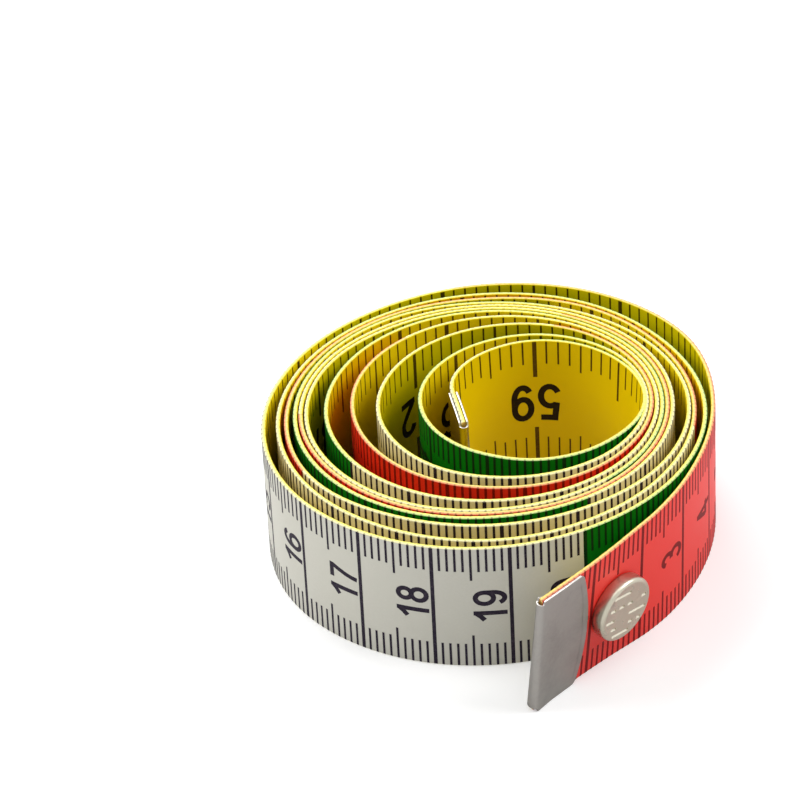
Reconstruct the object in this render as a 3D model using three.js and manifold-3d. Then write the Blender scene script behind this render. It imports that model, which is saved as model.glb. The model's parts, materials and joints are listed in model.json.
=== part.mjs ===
// Cloth tape measure, loosely coiled and standing on the lower edge of its tape.
// Lengths are in millimetres and angles in degrees. +Z is up, the tape's lower edge lies on z = 0,
// and the finished group's origin is the middle of its bounding box, at the bottom.

import * as THREE from 'three';
import { mergeVertices } from 'three/addons/utils/BufferGeometryUtils.js';
import Module from 'manifold-3d';

// Tape
const TAPE_WIDTH = 19;
const TAPE_THICKNESS = 0.45;

// Coil: the middle of the tape, seen from above, goes round counterclockwise and inwards.
// A row is one turn. Its twelve places are the hours of a clock, from six o'clock at the front by way
// of three o'clock at the right. A place is the distance from the coil's centre over COIL_RADIUS.
const COIL_RADIUS = 29.9;
const HOUR_ANGLE = 30;
const FIRST_HOUR_ANGLE = -90;
const TURN_SHARES = [
  [1.183, 1.058, 0.980, 0.982, 1.020, 1.005, 0.970, 0.947, 0.963, 0.987, 1.007, 1.000],
  [0.977, 0.957, 0.943, 0.933, 0.927, 0.920, 0.907, 0.910, 0.913, 0.937, 0.947, 0.940],
  [0.927, 0.910, 0.897, 0.895, 0.895, 0.887, 0.873, 0.877, 0.883, 0.900, 0.907, 0.873],
  [0.833, 0.837, 0.853, 0.859, 0.863, 0.854, 0.840, 0.843, 0.853, 0.867, 0.853, 0.823],
  [0.790, 0.800, 0.813, 0.826, 0.832, 0.823, 0.810, 0.812, 0.823, 0.835, 0.817, 0.783],
  [0.757, 0.767, 0.780, 0.795, 0.802, 0.793, 0.780, 0.780, 0.793, 0.803, 0.773, 0.743],
  [0.720, 0.733, 0.747, 0.764, 0.771, 0.763, 0.747, 0.740, 0.737, 0.723, 0.683, 0.660],
  [0.653, 0.687, 0.710, 0.734, 0.740, 0.733, 0.703, 0.670, 0.640, 0.603, 0.563, 0.560],
  [0.563, 0.613, 0.670, 0.703, 0.709, 0.693, 0.630, 0.567, 0.523, 0.487, 0.467, 0.467],
  [0.493, 0.540, 0.620, 0.667, 0.672, 0.617, 0.527, 0.427, 0.343, 0.300, 0.280, 0.297],
  [0.337, 0.447, 0.560, 0.633, 0.638, 0.570, 0.447, 0.312, 0.107, 0.060],
];
const STEP_ANGLE = 10;

// Ends: each end of the tape runs straight on from its join, and bends at its hinge.
const OUTER_JOIN_ANGLE = -56;
const OUTER_HINGE_ANGLE = -14;
const INNER_HINGE_ANGLE = 3704;
const INNER_JOIN_ANGLE = 3729;
const RUN_MARGIN = 0.45;
const HINGE_GAP = 0.3;

// Lean: the top of the outer end tips away from the coil, and stands straight again before its hinge.
const END_LEAN = 6.5;
const LEAN_END_ANGLE = -20;

// Fits: METAL_GAP is what a metal piece keeps to the tape or to the piece that it is clinched to.
const METAL_GAP = 0.12;
const RUN_STEP = 5;

// End clips: sheet folded over the end of the tape, with a rounded edge on both leaves
const CLIP_SHEET = 0.3;
const CLIP_SIDE_INSET = 0.12;
const CLIP_EDGE_LENGTH = 7.2;
const CLIP_BULGE = 2.2;
const CLIP_COLUMNS = 12;
const FOLD_STEPS = 8;

// Press stud, cap half: the cap closes over the post, and the post goes through the tape.
const SNAP_OFFSET = 15;
const CAP_RADIUS = 4.55;
const CAP_HEIGHT = 1.6;
const CAP_SHEET = 0.3;
const CAP_LIP = 0.9;
const CAP_CORNER = 0.3;
const CAP_RIM = 0.55;
const CAP_FACE_DROP = 0.15;
const POST_SHEET = 0.3;
const POST_RADIUS = 1.3;
const POST_BORE = 0.95;
const POST_FLARE = 0.65;

// Press stud, socket half: a flange on the tape, and a hub that holds the ring spring
const SOCKET_RADIUS = 4.2;
const SOCKET_SHEET = 0.32;
const SOCKET_DEPTH = 2.2;
const SOCKET_EDGE_WIDTH = 0.45;
const SOCKET_EDGE_HEIGHT = 0.4;
const SPRING_WIRE_RADIUS = 0.24;
const SPRING_SLOT_ANGLE = 40;
const SPRING_STEPS = 28;
const WIRE_SIDES = 8;

// Press stud, stud half, on the first turn
const STUD_ANGLE = 162;
const STUD_RADIUS = 3.8;
const STUD_SHEET = 0.32;
const STUD_HEIGHT = 2;
const STUD_NECK_RADIUS = 1.3;
const STUD_HEAD_RADIUS = 1.65;
const STUD_ROOT = 0.35;
const STUD_HEAD_LENGTH = 0.9;
const EYELET_RADIUS = 3;
const EYELET_SHEET = 0.22;
const EYELET_SHANK_RADIUS = 0.8;
const EYELET_BORE = 0.45;

const ROUND_SIDES = 32;
const CUT_OVERRUN = 1;

const radians = THREE.MathUtils.degToRad;

const wasm = await Module();
wasm.setup();

// Colours and finishes, one material for each mesh

function tapeCloth(colour) {
  return new THREE.MeshStandardMaterial({ color: colour, roughness: 0.55, metalness: 0 });
}

function nickel(colour, roughness) {
  return new THREE.MeshStandardMaterial({ color: colour, roughness, metalness: 1 });
}

// Solids

function sharedVertices(geometry) {
  const bare = geometry.clone();
  bare.deleteAttribute('normal');
  bare.deleteAttribute('uv');
  return mergeVertices(bare);
}

function toSolid(geometry) {
  const shared = sharedVertices(geometry);
  const mesh = new wasm.Mesh({
    numProp: 3,
    vertProperties: new Float32Array(shared.attributes.position.array),
    triVerts: new Uint32Array(shared.index.array),
  });
  return new wasm.Manifold(mesh);
}

function toGeometry(solid) {
  const mesh = solid.getMesh();
  const geometry = new THREE.BufferGeometry();
  geometry.setAttribute('position', new THREE.BufferAttribute(new Float32Array(mesh.vertProperties), 3));
  geometry.setIndex(new THREE.BufferAttribute(new Uint32Array(mesh.triVerts), 1));
  geometry.computeVertexNormals();
  return geometry;
}

// Closed solid whose rings of points all have the same count. Each ring runs counterclockwise when
// it is seen from the first ring's side, and the two end rings are filled.
function loft(rings, capFaces) {
  const count = rings[0].length;
  const position = rings.flat().flatMap((point) => point.toArray());
  const index = [];
  for (let ring = 0; ring < rings.length - 1; ring += 1) {
    for (let side = 0; side < count; side += 1) {
      const a = ring * count + side;
      const b = ring * count + ((side + 1) % count);
      index.push(a, a + count, b, b, a + count, b + count);
    }
  }
  const last = (rings.length - 1) * count;
  for (const [a, b, c] of capFaces) {
    index.push(a, b, c);
    index.push(last + a, last + c, last + b);
  }
  const geometry = new THREE.BufferGeometry();
  geometry.setAttribute('position', new THREE.Float32BufferAttribute(position, 3));
  geometry.setIndex(index);
  geometry.computeVertexNormals();
  return geometry;
}

// Round solid about +Z from an outline of [radius, height] pairs, listed counterclockwise
function revolve(outline) {
  const points = outline.map(([radius, height]) => new THREE.Vector2(radius, height));
  if (points[0].x > 0) {
    points.push(points[0].clone());
  }
  const geometry = new THREE.LatheGeometry(points, ROUND_SIDES);
  geometry.rotateX(Math.PI / 2);
  return geometry;
}

// Route of the tape

const hourShares = TURN_SHARES.flat();

// Distance from the coil's centre at an angle, and its slope over a radian, through the hours' places
function spiral(angle) {
  const place = (angle - FIRST_HOUR_ANGLE) / HOUR_ANGLE;
  const hour = Math.floor(place);
  const t = place - hour;
  const [a, b, c, d] = [-1, 0, 1, 2].map((step) => hourShares[Math.max(hour + step, 0)]);
  const bend = 2 * a - 5 * b + 4 * c - d;
  const twist = 3 * b - a - 3 * c + d;
  const share = b + (t * (c - a) + t * t * bend + t * t * t * twist) / 2;
  const slope = (c - a + 2 * t * bend + 3 * t * t * twist) / 2;
  return { radius: COIL_RADIUS * share, slope: (COIL_RADIUS * slope) / radians(HOUR_ANGLE) };
}

// A station holds the middle of the tape, its heading and its lean.
function leanAt(angle) {
  const left = (LEAN_END_ANGLE - angle) / (LEAN_END_ANGLE - OUTER_JOIN_ANGLE);
  return END_LEAN * THREE.MathUtils.smoothstep(left, 0, 1);
}

function coilStation(angle) {
  const { radius, slope } = spiral(angle);
  const turn = radians(angle);
  const heading = turn + Math.atan2(radius, slope);
  return { x: radius * Math.cos(turn), y: radius * Math.sin(turn), heading, lean: radians(leanAt(angle)) };
}

function ahead(station, distance) {
  const x = station.x + distance * Math.cos(station.heading);
  const y = station.y + distance * Math.sin(station.heading);
  return { ...station, x, y };
}

// Matrix of a station: X runs along the tape, Y up its width and Z out of its numbered face.
function stationMatrix(station) {
  const along = new THREE.Vector3(Math.cos(station.heading), Math.sin(station.heading), 0);
  const out = new THREE.Vector3(Math.sin(station.heading), -Math.cos(station.heading), 0);
  const up = new THREE.Vector3(0, 0, 1);
  const leanedUp = up.clone().multiplyScalar(Math.cos(station.lean)).addScaledVector(out, Math.sin(station.lean));
  const leanedOut = out.clone().multiplyScalar(Math.cos(station.lean)).addScaledVector(up, -Math.sin(station.lean));
  const halfWidth = TAPE_WIDTH / 2;
  const halfThickness = TAPE_THICKNESS / 2;
  const height = halfWidth * Math.cos(station.lean) + halfThickness * Math.sin(station.lean);
  const matrix = new THREE.Matrix4().makeBasis(along, leanedUp, leanedOut);
  return matrix.setPosition(station.x, station.y, height);
}

const foldRadius = TAPE_THICKNESS / 2 + METAL_GAP + CLIP_SHEET;
const clipLength = CLIP_EDGE_LENGTH + CLIP_BULGE;
const outerRun = SNAP_OFFSET + CAP_RADIUS + RUN_MARGIN;
const innerRun = clipLength + RUN_MARGIN;

const outerJoin = coilStation(OUTER_JOIN_ANGLE);
const innerJoin = coilStation(INNER_JOIN_ANGLE);
const outerTip = ahead(outerJoin, -outerRun);
const innerTip = ahead(innerJoin, innerRun);
const outerHinge = coilStation(OUTER_HINGE_ANGLE);
const innerHinge = coilStation(INNER_HINGE_ANGLE);

// Stations of the coiled tape between two angles, at every step and at both ends
function coilStations(from, to) {
  const angles = [from];
  for (let step = Math.floor(from / STEP_ANGLE) + 1; step * STEP_ANGLE < to; step += 1) {
    angles.push(step * STEP_ANGLE);
  }
  angles.push(to);
  return angles.map(coilStation);
}

// Stations of a straight run that starts and ends at distances ahead of one station
function runStations(station, from, to) {
  const steps = Math.ceil((to - from) / RUN_STEP);
  const stations = [];
  for (let step = 0; step <= steps; step += 1) {
    stations.push(ahead(station, from + ((to - from) * step) / steps));
  }
  return stations;
}

// Angle that the tape's middle passes in half of the hinge's gap
function hingeGapAngle(angle) {
  const { radius, slope } = spiral(angle);
  return THREE.MathUtils.radToDeg(HINGE_GAP / 2 / Math.hypot(radius, slope));
}

const outerGapAngle = hingeGapAngle(OUTER_HINGE_ANGLE);
const innerGapAngle = hingeGapAngle(INNER_HINGE_ANGLE);

const outerEndStations = [
  ...runStations(outerTip, foldRadius, outerRun),
  ...coilStations(OUTER_JOIN_ANGLE, OUTER_HINGE_ANGLE - outerGapAngle).slice(1),
];
const coilBodyStations = coilStations(OUTER_HINGE_ANGLE + outerGapAngle, INNER_HINGE_ANGLE - innerGapAngle);
const innerEndStations = [
  ...coilStations(INNER_HINGE_ANGLE + innerGapAngle, INNER_JOIN_ANGLE),
  ...runStations(innerTip, -innerRun, -foldRadius).slice(1),
];

function tapeRing(station) {
  const halfWidth = TAPE_WIDTH / 2;
  const halfThickness = TAPE_THICKNESS / 2;
  const corners = [
    [-halfWidth, -halfThickness],
    [-halfWidth, halfThickness],
    [halfWidth, halfThickness],
    [halfWidth, -halfThickness],
  ];
  const matrix = stationMatrix(station);
  return corners.map(([y, z]) => new THREE.Vector3(0, y, z).applyMatrix4(matrix));
}

function tapeStrip(stations) {
  return loft(stations.map(tapeRing), [[0, 1, 2], [0, 2, 3]]);
}

function punched(strip, station, radius) {
  const punch = new THREE.CylinderGeometry(radius, radius, TAPE_THICKNESS + 2 * CUT_OVERRUN, ROUND_SIDES);
  punch.rotateX(Math.PI / 2);
  punch.applyMatrix4(stationMatrix(station));
  return toGeometry(toSolid(strip).subtract(toSolid(punch)));
}

// End clip: its fold lies across the station, and its leaves run along X.
function clipGeometry() {
  const halfWidth = TAPE_WIDTH / 2 - CLIP_SIDE_INSET;
  const inside = foldRadius - CLIP_SHEET;
  const rings = [];
  for (let column = 0; column <= CLIP_COLUMNS; column += 1) {
    const across = (2 * column) / CLIP_COLUMNS - 1;
    const reach = CLIP_EDGE_LENGTH + CLIP_BULGE * (1 - across * across);
    const y = across * halfWidth;
    const ring = [new THREE.Vector3(reach, y, foldRadius)];
    for (let step = 0; step <= FOLD_STEPS; step += 1) {
      const turn = (Math.PI * step) / FOLD_STEPS;
      const x = foldRadius - foldRadius * Math.sin(turn);
      ring.push(new THREE.Vector3(x, y, foldRadius * Math.cos(turn)));
    }
    ring.push(new THREE.Vector3(reach, y, -foldRadius), new THREE.Vector3(reach, y, -inside));
    for (let step = FOLD_STEPS; step >= 0; step -= 1) {
      const turn = (Math.PI * step) / FOLD_STEPS;
      const x = foldRadius - inside * Math.sin(turn);
      ring.push(new THREE.Vector3(x, y, inside * Math.cos(turn)));
    }
    ring.push(new THREE.Vector3(reach, y, inside));
    rings.push(ring);
  }
  const outline = rings[0].map((point) => new THREE.Vector2(point.x, point.z));
  return loft(rings, THREE.ShapeUtils.triangulateShape(outline, []));
}

// Press stud outlines: height 0 is the middle of the tape, and heights above it are on its numbered face.
const tapeFace = TAPE_THICKNESS / 2;
const capBase = tapeFace + METAL_GAP;
const postBase = capBase + CAP_SHEET + METAL_GAP;

function capGeometry() {
  const top = capBase + CAP_HEIGHT;
  const face = top - CAP_FACE_DROP;
  const inner = CAP_RADIUS - CAP_SHEET;
  return revolve([
    [CAP_RADIUS - CAP_LIP, capBase],
    [CAP_RADIUS - CAP_CORNER, capBase],
    [CAP_RADIUS, capBase + CAP_CORNER],
    [CAP_RADIUS, top - CAP_CORNER],
    [CAP_RADIUS - CAP_CORNER, top],
    [CAP_RADIUS - CAP_RIM, top],
    [CAP_RADIUS - CAP_RIM - CAP_FACE_DROP, face],
    [0, face],
    [0, face - CAP_SHEET],
    [inner, face - CAP_SHEET],
    [inner, capBase + CAP_SHEET],
    [CAP_RADIUS - CAP_LIP, capBase + CAP_SHEET],
  ]);
}

// The post's flared end lies behind the socket's flange.
const socketBase = -tapeFace - METAL_GAP;
const flareTop = socketBase - SOCKET_SHEET - METAL_GAP;

function postGeometry() {
  const flange = CAP_RADIUS - CAP_SHEET - METAL_GAP;
  const flare = POST_RADIUS + POST_FLARE;
  return revolve([
    [0, postBase],
    [POST_BORE, postBase],
    [POST_BORE, flareTop - POST_SHEET],
    [flare, flareTop - POST_SHEET],
    [flare, flareTop],
    [POST_RADIUS, flareTop],
    [POST_RADIUS, postBase],
    [flange, postBase],
    [flange, postBase + POST_SHEET],
    [0, postBase + POST_SHEET],
  ]);
}

const springRadius = (STUD_NECK_RADIUS + STUD_HEAD_RADIUS) / 2 + SPRING_WIRE_RADIUS;
const socketMouth = STUD_HEAD_RADIUS + METAL_GAP;
const hubInner = Math.max(springRadius + SPRING_WIRE_RADIUS, POST_RADIUS + POST_FLARE) + METAL_GAP;
const socketEnd = socketBase - SOCKET_DEPTH;

function socketGeometry() {
  const hubOuter = hubInner + SOCKET_SHEET;
  const flange = socketBase - SOCKET_SHEET;
  const edge = flange - SOCKET_EDGE_HEIGHT;
  return revolve([
    [POST_RADIUS + METAL_GAP, flange],
    [hubInner, flange],
    [hubInner, socketEnd + SOCKET_SHEET],
    [socketMouth, socketEnd + SOCKET_SHEET],
    [socketMouth, socketEnd],
    [hubOuter, socketEnd],
    [hubOuter, flange],
    [SOCKET_RADIUS - SOCKET_EDGE_WIDTH, flange],
    [SOCKET_RADIUS - SOCKET_EDGE_WIDTH, edge],
    [SOCKET_RADIUS, edge],
    [SOCKET_RADIUS, socketBase],
    [POST_RADIUS + METAL_GAP, socketBase],
  ]);
}

// Open ring of wire that lies behind the socket's mouth
class WireRing extends THREE.Curve {
  getPoint(t, target = new THREE.Vector3()) {
    const turn = radians(SPRING_SLOT_ANGLE / 2 + t * (360 - SPRING_SLOT_ANGLE));
    return target.set(springRadius * Math.cos(turn), springRadius * Math.sin(turn), 0);
  }
}

function springGeometry() {
  const section = new THREE.Shape();
  for (let side = 0; side < WIRE_SIDES; side += 1) {
    const turn = (2 * Math.PI * side) / WIRE_SIDES;
    const x = SPRING_WIRE_RADIUS * Math.cos(turn);
    const y = SPRING_WIRE_RADIUS * Math.sin(turn);
    if (side === 0) {
      section.moveTo(x, y);
    } else {
      section.lineTo(x, y);
    }
  }
  section.closePath();
  const path = new WireRing();
  const geometry = new THREE.ExtrudeGeometry(section, { steps: SPRING_STEPS, extrudePath: path });
  geometry.translate(0, 0, socketEnd + SOCKET_SHEET + METAL_GAP + SPRING_WIRE_RADIUS);
  return geometry;
}

const studHollow = EYELET_SHANK_RADIUS + METAL_GAP;
const studTop = capBase + STUD_HEIGHT;

function studGeometry() {
  const flange = capBase + STUD_SHEET;
  const head = studTop - STUD_HEAD_LENGTH / 2;
  return revolve([
    [studHollow, capBase],
    [STUD_RADIUS, capBase],
    [STUD_RADIUS, flange],
    [STUD_NECK_RADIUS + STUD_ROOT, flange],
    [STUD_NECK_RADIUS, flange + STUD_ROOT],
    [STUD_NECK_RADIUS, studTop - STUD_HEAD_LENGTH],
    [STUD_HEAD_RADIUS, head],
    [STUD_NECK_RADIUS, studTop],
    [0, studTop],
    [0, studTop - STUD_SHEET],
    [studHollow, studTop - STUD_SHEET],
  ]);
}

// The eyelet's flange keeps clear of the turn's hollow side, which rises towards the flange's edge.
function eyeletGeometry() {
  const turnRadius = spiral(STUD_ANGLE).radius;
  const rise = (EYELET_RADIUS * EYELET_RADIUS) / (2 * turnRadius);
  const base = -tapeFace - METAL_GAP - rise;
  const end = studTop - STUD_SHEET - METAL_GAP;
  return revolve([
    [EYELET_BORE, base - EYELET_SHEET],
    [EYELET_RADIUS, base - EYELET_SHEET],
    [EYELET_RADIUS, base],
    [EYELET_SHANK_RADIUS, base],
    [EYELET_SHANK_RADIUS, end],
    [EYELET_BORE, end],
  ]);
}

// Least gap between turns, from the edges' points of one turn to the edges' stretches of the others
function leastTurnGap(stations) {
  const edges = [-TAPE_WIDTH / 2, TAPE_WIDTH / 2];
  let least = Infinity;
  for (const edge of edges) {
    const points = stations.map((s) => new THREE.Vector3(0, edge, 0).applyMatrix4(stationMatrix(s)));
    const nearby = Math.round(180 / STEP_ANGLE);
    const closest = new THREE.Vector3();
    for (let i = 0; i < points.length; i += 1) {
      for (let j = i + nearby; j < points.length - 1; j += 1) {
        new THREE.Line3(points[j], points[j + 1]).closestPointToPoint(points[i], true, closest);
        least = Math.min(least, closest.distanceTo(points[i]));
      }
    }
  }
  return least - TAPE_THICKNESS;
}

function tapeLength(stations) {
  let length = 2 * foldRadius;
  for (let i = 1; i < stations.length; i += 1) {
    length += Math.hypot(stations[i].x - stations[i - 1].x, stations[i].y - stations[i - 1].y);
  }
  return length;
}

// Assembly

const tapeMeasure = new THREE.Group();

function add(parent, name, geometry, material) {
  const mesh = new THREE.Mesh(geometry, material);
  mesh.name = name;
  parent.add(mesh);
}

function placedGroup(station) {
  const group = new THREE.Group();
  group.applyMatrix4(stationMatrix(station));
  tapeMeasure.add(group);
  return group;
}

const snapStation = ahead(outerTip, SNAP_OFFSET);
const studStation = coilStation(STUD_ANGLE);
const coilStrip = punched(tapeStrip(coilBodyStations), studStation, EYELET_SHANK_RADIUS + METAL_GAP);
const outerStrip = punched(tapeStrip(outerEndStations), snapStation, POST_RADIUS + METAL_GAP);

add(tapeMeasure, 'tape_coil', coilStrip, tapeCloth(0xd8b83c));
add(tapeMeasure, 'tape_outer_end', outerStrip, tapeCloth(0xd62c26));
add(tapeMeasure, 'tape_inner_end', tapeStrip(innerEndStations), tapeCloth(0xe3d9b0));

const innerTipTurned = { ...innerTip, heading: innerTip.heading + Math.PI };
add(placedGroup(outerTip), 'outer_end_clip', clipGeometry(), nickel(0xb9b6b0, 0.38));
add(placedGroup(innerTipTurned), 'inner_end_clip', clipGeometry(), nickel(0xb4b1ab, 0.4));

const snap = placedGroup(snapStation);
add(snap, 'snap_cap', capGeometry(), nickel(0xc4c1b8, 0.28));
add(snap, 'snap_cap_post', postGeometry(), nickel(0xb0ada6, 0.35));
add(snap, 'snap_socket', socketGeometry(), nickel(0xbcb9b2, 0.33));
add(snap, 'snap_socket_spring', springGeometry(), nickel(0xa89a70, 0.3));

const stud = placedGroup(studStation);
add(stud, 'snap_stud', studGeometry(), nickel(0xbebbb4, 0.3));
add(stud, 'snap_stud_eyelet', eyeletGeometry(), nickel(0xb2afa8, 0.36));

// The origin goes to the middle of the bounding box, at the bottom.
const bounds = new THREE.Box3().setFromObject(tapeMeasure, true);
const middle = bounds.getCenter(new THREE.Vector3());
tapeMeasure.position.set(-middle.x, -middle.y, 0);
tapeMeasure.updateMatrixWorld(true);

const allStations = [...outerEndStations, ...coilBodyStations, ...innerEndStations];
const places = { outerHinge, innerHinge, coilCentre: { x: 0, y: 0 }, snap: snapStation, stud: studStation };
console.log(`least gap between turns ${leastTurnGap(allStations).toFixed(3)} mm`);
console.log(`length of the tape ${tapeLength(allStations).toFixed(1)} mm`);
for (const [name, place] of Object.entries(places)) {
  const x = (place.x - middle.x).toFixed(3);
  const y = (place.y - middle.y).toFixed(3);
  console.log(`${name} at x ${x}, y ${y} mm`);
}

export default tapeMeasure;
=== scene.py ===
"""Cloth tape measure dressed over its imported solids: printed tape, end clips and press stud.

Lengths are in metres, in the row frame. The tape is drawn flat and then wound along its route.
Flat artwork has X along the tape from its folded outer tip, Y up its width from the lower edge,
and Z out of the numbered face from the middle of the cloth.
"""

import json
import logging
import math
from collections.abc import Iterable, Sequence
from dataclasses import dataclass, field
from enum import Enum

import bpy
import numpy as np
from mathutils import Matrix, Vector


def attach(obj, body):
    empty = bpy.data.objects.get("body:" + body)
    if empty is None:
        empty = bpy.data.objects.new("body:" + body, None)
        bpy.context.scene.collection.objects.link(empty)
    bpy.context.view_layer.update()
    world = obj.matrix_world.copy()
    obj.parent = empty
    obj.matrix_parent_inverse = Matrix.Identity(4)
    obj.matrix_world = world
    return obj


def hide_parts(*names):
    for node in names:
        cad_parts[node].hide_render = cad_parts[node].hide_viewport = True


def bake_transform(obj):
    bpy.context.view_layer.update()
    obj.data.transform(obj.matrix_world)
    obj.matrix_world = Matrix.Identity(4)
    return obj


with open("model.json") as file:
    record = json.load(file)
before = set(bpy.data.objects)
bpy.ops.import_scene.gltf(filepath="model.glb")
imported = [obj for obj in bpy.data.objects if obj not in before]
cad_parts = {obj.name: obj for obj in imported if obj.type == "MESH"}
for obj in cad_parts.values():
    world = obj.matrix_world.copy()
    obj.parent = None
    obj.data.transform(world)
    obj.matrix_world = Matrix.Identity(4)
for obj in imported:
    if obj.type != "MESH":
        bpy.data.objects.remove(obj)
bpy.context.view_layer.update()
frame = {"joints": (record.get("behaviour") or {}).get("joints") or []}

LOG = logging.getLogger("tape_measure")
MM = 0.001
CM = 10 * MM
INCH = 25.4 * MM

TAPE_WIDTH = 19 * MM
THREAD_PITCH = 0.62 * MM
FLAT_MAP = "flat"

# Angles in degrees past which shading shows a crease: on metal, on cloth and on wire.
CREASE = 32
CLOTH_CREASE = 40
WIRE_CREASE = 50

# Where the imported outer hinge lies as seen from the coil's centre: degrees and metres.
HINGE_NAME = "outer_end_bend"
HINGE_ANGLE = -14.0
HINGE_RADIUS = 29.123 * MM

# Where the press stud's halves sit: the cap's distance from the folded tip, and the stud's angle round the coil.
CAP_ALONG = 15 * MM
STUD_ANGLE = 162.0

# Where the camera looks, from the coil's centre and from the floor up.
SIGHT = (-11.85 * MM, 29.67 * MM, -0.15 * MM)

Colour = tuple[float, float, float, float]
Point2 = tuple[float, float]
Stroke = Sequence[Point2]
Paint = Colour | bpy.types.NodeSocket

# The route's distance from the coil's centre, as a share of its radius. A row is one turn inwards, and
# its places are the hours of a clock from six o'clock at the front by way of three o'clock.
TURN_SHARES = (
    (1.183, 1.058, 0.980, 0.976, 1.020, 1.005, 0.970, 0.947, 0.963, 1.000, 1.022, 1.008),
    (0.978, 0.950, 0.943, 0.937, 0.916, 0.913, 0.898, 0.898, 0.915, 0.937, 0.945, 0.937),
    (0.928, 0.902, 0.893, 0.892, 0.885, 0.886, 0.861, 0.876, 0.889, 0.901, 0.902, 0.848),
    (0.824, 0.824, 0.853, 0.869, 0.855, 0.834, 0.829, 0.854, 0.863, 0.862, 0.838, 0.801),
    (0.767, 0.765, 0.781, 0.799, 0.814, 0.809, 0.806, 0.815, 0.839, 0.837, 0.803, 0.770),
    (0.739, 0.743, 0.757, 0.777, 0.792, 0.787, 0.784, 0.792, 0.817, 0.811, 0.780, 0.747),
    (0.716, 0.712, 0.732, 0.754, 0.769, 0.764, 0.761, 0.759, 0.744, 0.723, 0.690, 0.663),
    (0.653, 0.669, 0.699, 0.731, 0.746, 0.736, 0.714, 0.686, 0.648, 0.602, 0.566, 0.553),
    (0.563, 0.606, 0.660, 0.708, 0.722, 0.698, 0.639, 0.578, 0.527, 0.491, 0.468, 0.469),
    (0.489, 0.545, 0.624, 0.686, 0.692, 0.627, 0.524, 0.423, 0.347, 0.297, 0.278, 0.289),
    (0.335, 0.434, 0.552, 0.664, 0.650, 0.568, 0.431, 0.292, 0.159, 0.141),
)

# How far the tape's top leans outwards: millimetres from the folded tip, and degrees.
LEANS = (
    (0, 6.5), (10, 6.7), (15, 5.4), (20, 3.0), (26, 1.3), (34, 0.3), (40, 0.0),
    (1455, 0.0), (1482, 3.2), (1502, 2.6), (1520, 0.9),
)

# How far beyond its own length a mark lies on the route: millimetres from the tip, and millimetres.
SLIPS = (
    (0, 0.5), (10, 0.35), (20, 0.0), (25, -0.4), (30, -0.4), (60, 0.0), (160, -0.1), (190, -0.25),
    (500, -0.15), (700, -0.4), (1000, -0.8), (1100, -0.65), (1320, -0.2), (1480, -0.1), (1530, -0.1),
)

# The woven look pressed into the cap: each slit's middle and length, in millimetres.
CAP_SLITS = (
    (-1.3, 2.8, 3.2), (-3.0, -0.75, 1.6), (2.2, -0.7, 3.2), (-0.5, -3.4, 3.2),
    (-2.75, 0.95, 0.95), (-1.1, 0.95, 0.95), (0.5, 0.95, 0.95), (3.1, 1.2, 0.85),
    (-2.05, -2.2, 0.95), (1.25, -2.2, 0.85), (2.8, -2.2, 0.8),
)


class Face(Enum):
    """Which face of the tape a print is on."""

    METRIC = "metric"
    INCH = "inch"


class Band(Enum):
    """Ground colours of the numbered face, which change every ten centimetres."""

    RED = "red"
    WHITE = "white"
    GREEN = "green"
    # The fourth band is white; its yellower colour is painted yellow bounce light.
    CREAM = "cream"


class Grain(Enum):
    """How a metal surface was finished."""

    TUMBLED = "tumbled"
    DRAWN = "drawn"


def ink_rgb(red: int, green: int, blue: int) -> Colour:
    """Turns a display colour into the linear one that shaders take.

    Args:
        red, green, blue: channels from 0 to 255.

    Returns:
        Linear red, green and blue, and an alpha of 1.
    """

    def linear(channel: int) -> float:
        """One channel in linear light."""
        share = channel / 255
        return share / 12.92 if share <= 0.04045 else ((share + 0.055) / 1.055) ** 2.4

    return (linear(red), linear(green), linear(blue), 1.0)


# ---------------------------------------------------------------- shader building


class Value:
    """A number in a node tree. Arithmetic on it adds Math nodes."""

    def __init__(self, bench: "Bench", socket: bpy.types.NodeSocket) -> None:
        """Wraps a socket of the bench's tree."""
        self.bench = bench
        self.socket = socket

    def _math(self, operation: str, *terms: "Value | float") -> "Value":
        """Adds one Math node over the terms."""
        node = self.bench.node("ShaderNodeMath", {"operation": operation}, dict(enumerate(terms)))
        return Value(self.bench, node.outputs[0])

    def __add__(self, other: "Value | float") -> "Value":
        """This value plus another."""
        return self._math("ADD", self, other)

    def __radd__(self, other: float) -> "Value":
        """A number plus this value."""
        return self._math("ADD", other, self)

    def __sub__(self, other: "Value | float") -> "Value":
        """This value less another."""
        return self._math("SUBTRACT", self, other)

    def __rsub__(self, other: float) -> "Value":
        """A number less this value."""
        return self._math("SUBTRACT", other, self)

    def __mul__(self, other: "Value | float") -> "Value":
        """This value times another."""
        return self._math("MULTIPLY", self, other)

    def __rmul__(self, other: float) -> "Value":
        """A number times this value."""
        return self._math("MULTIPLY", other, self)

    def sine(self) -> "Value":
        """Sine of this value in radians."""
        return self._math("SINE", self)

    def clamped(self) -> "Value":
        """This value held between 0 and 1."""
        return self._math("MINIMUM", self._math("MAXIMUM", self, 0.0), 1.0)

    def ramp(self, start: float, end: float) -> "Value":
        """Share of the way from one number to another, held between 0 and 1."""
        return ((self - start) * (1 / (end - start))).clamped()


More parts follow.
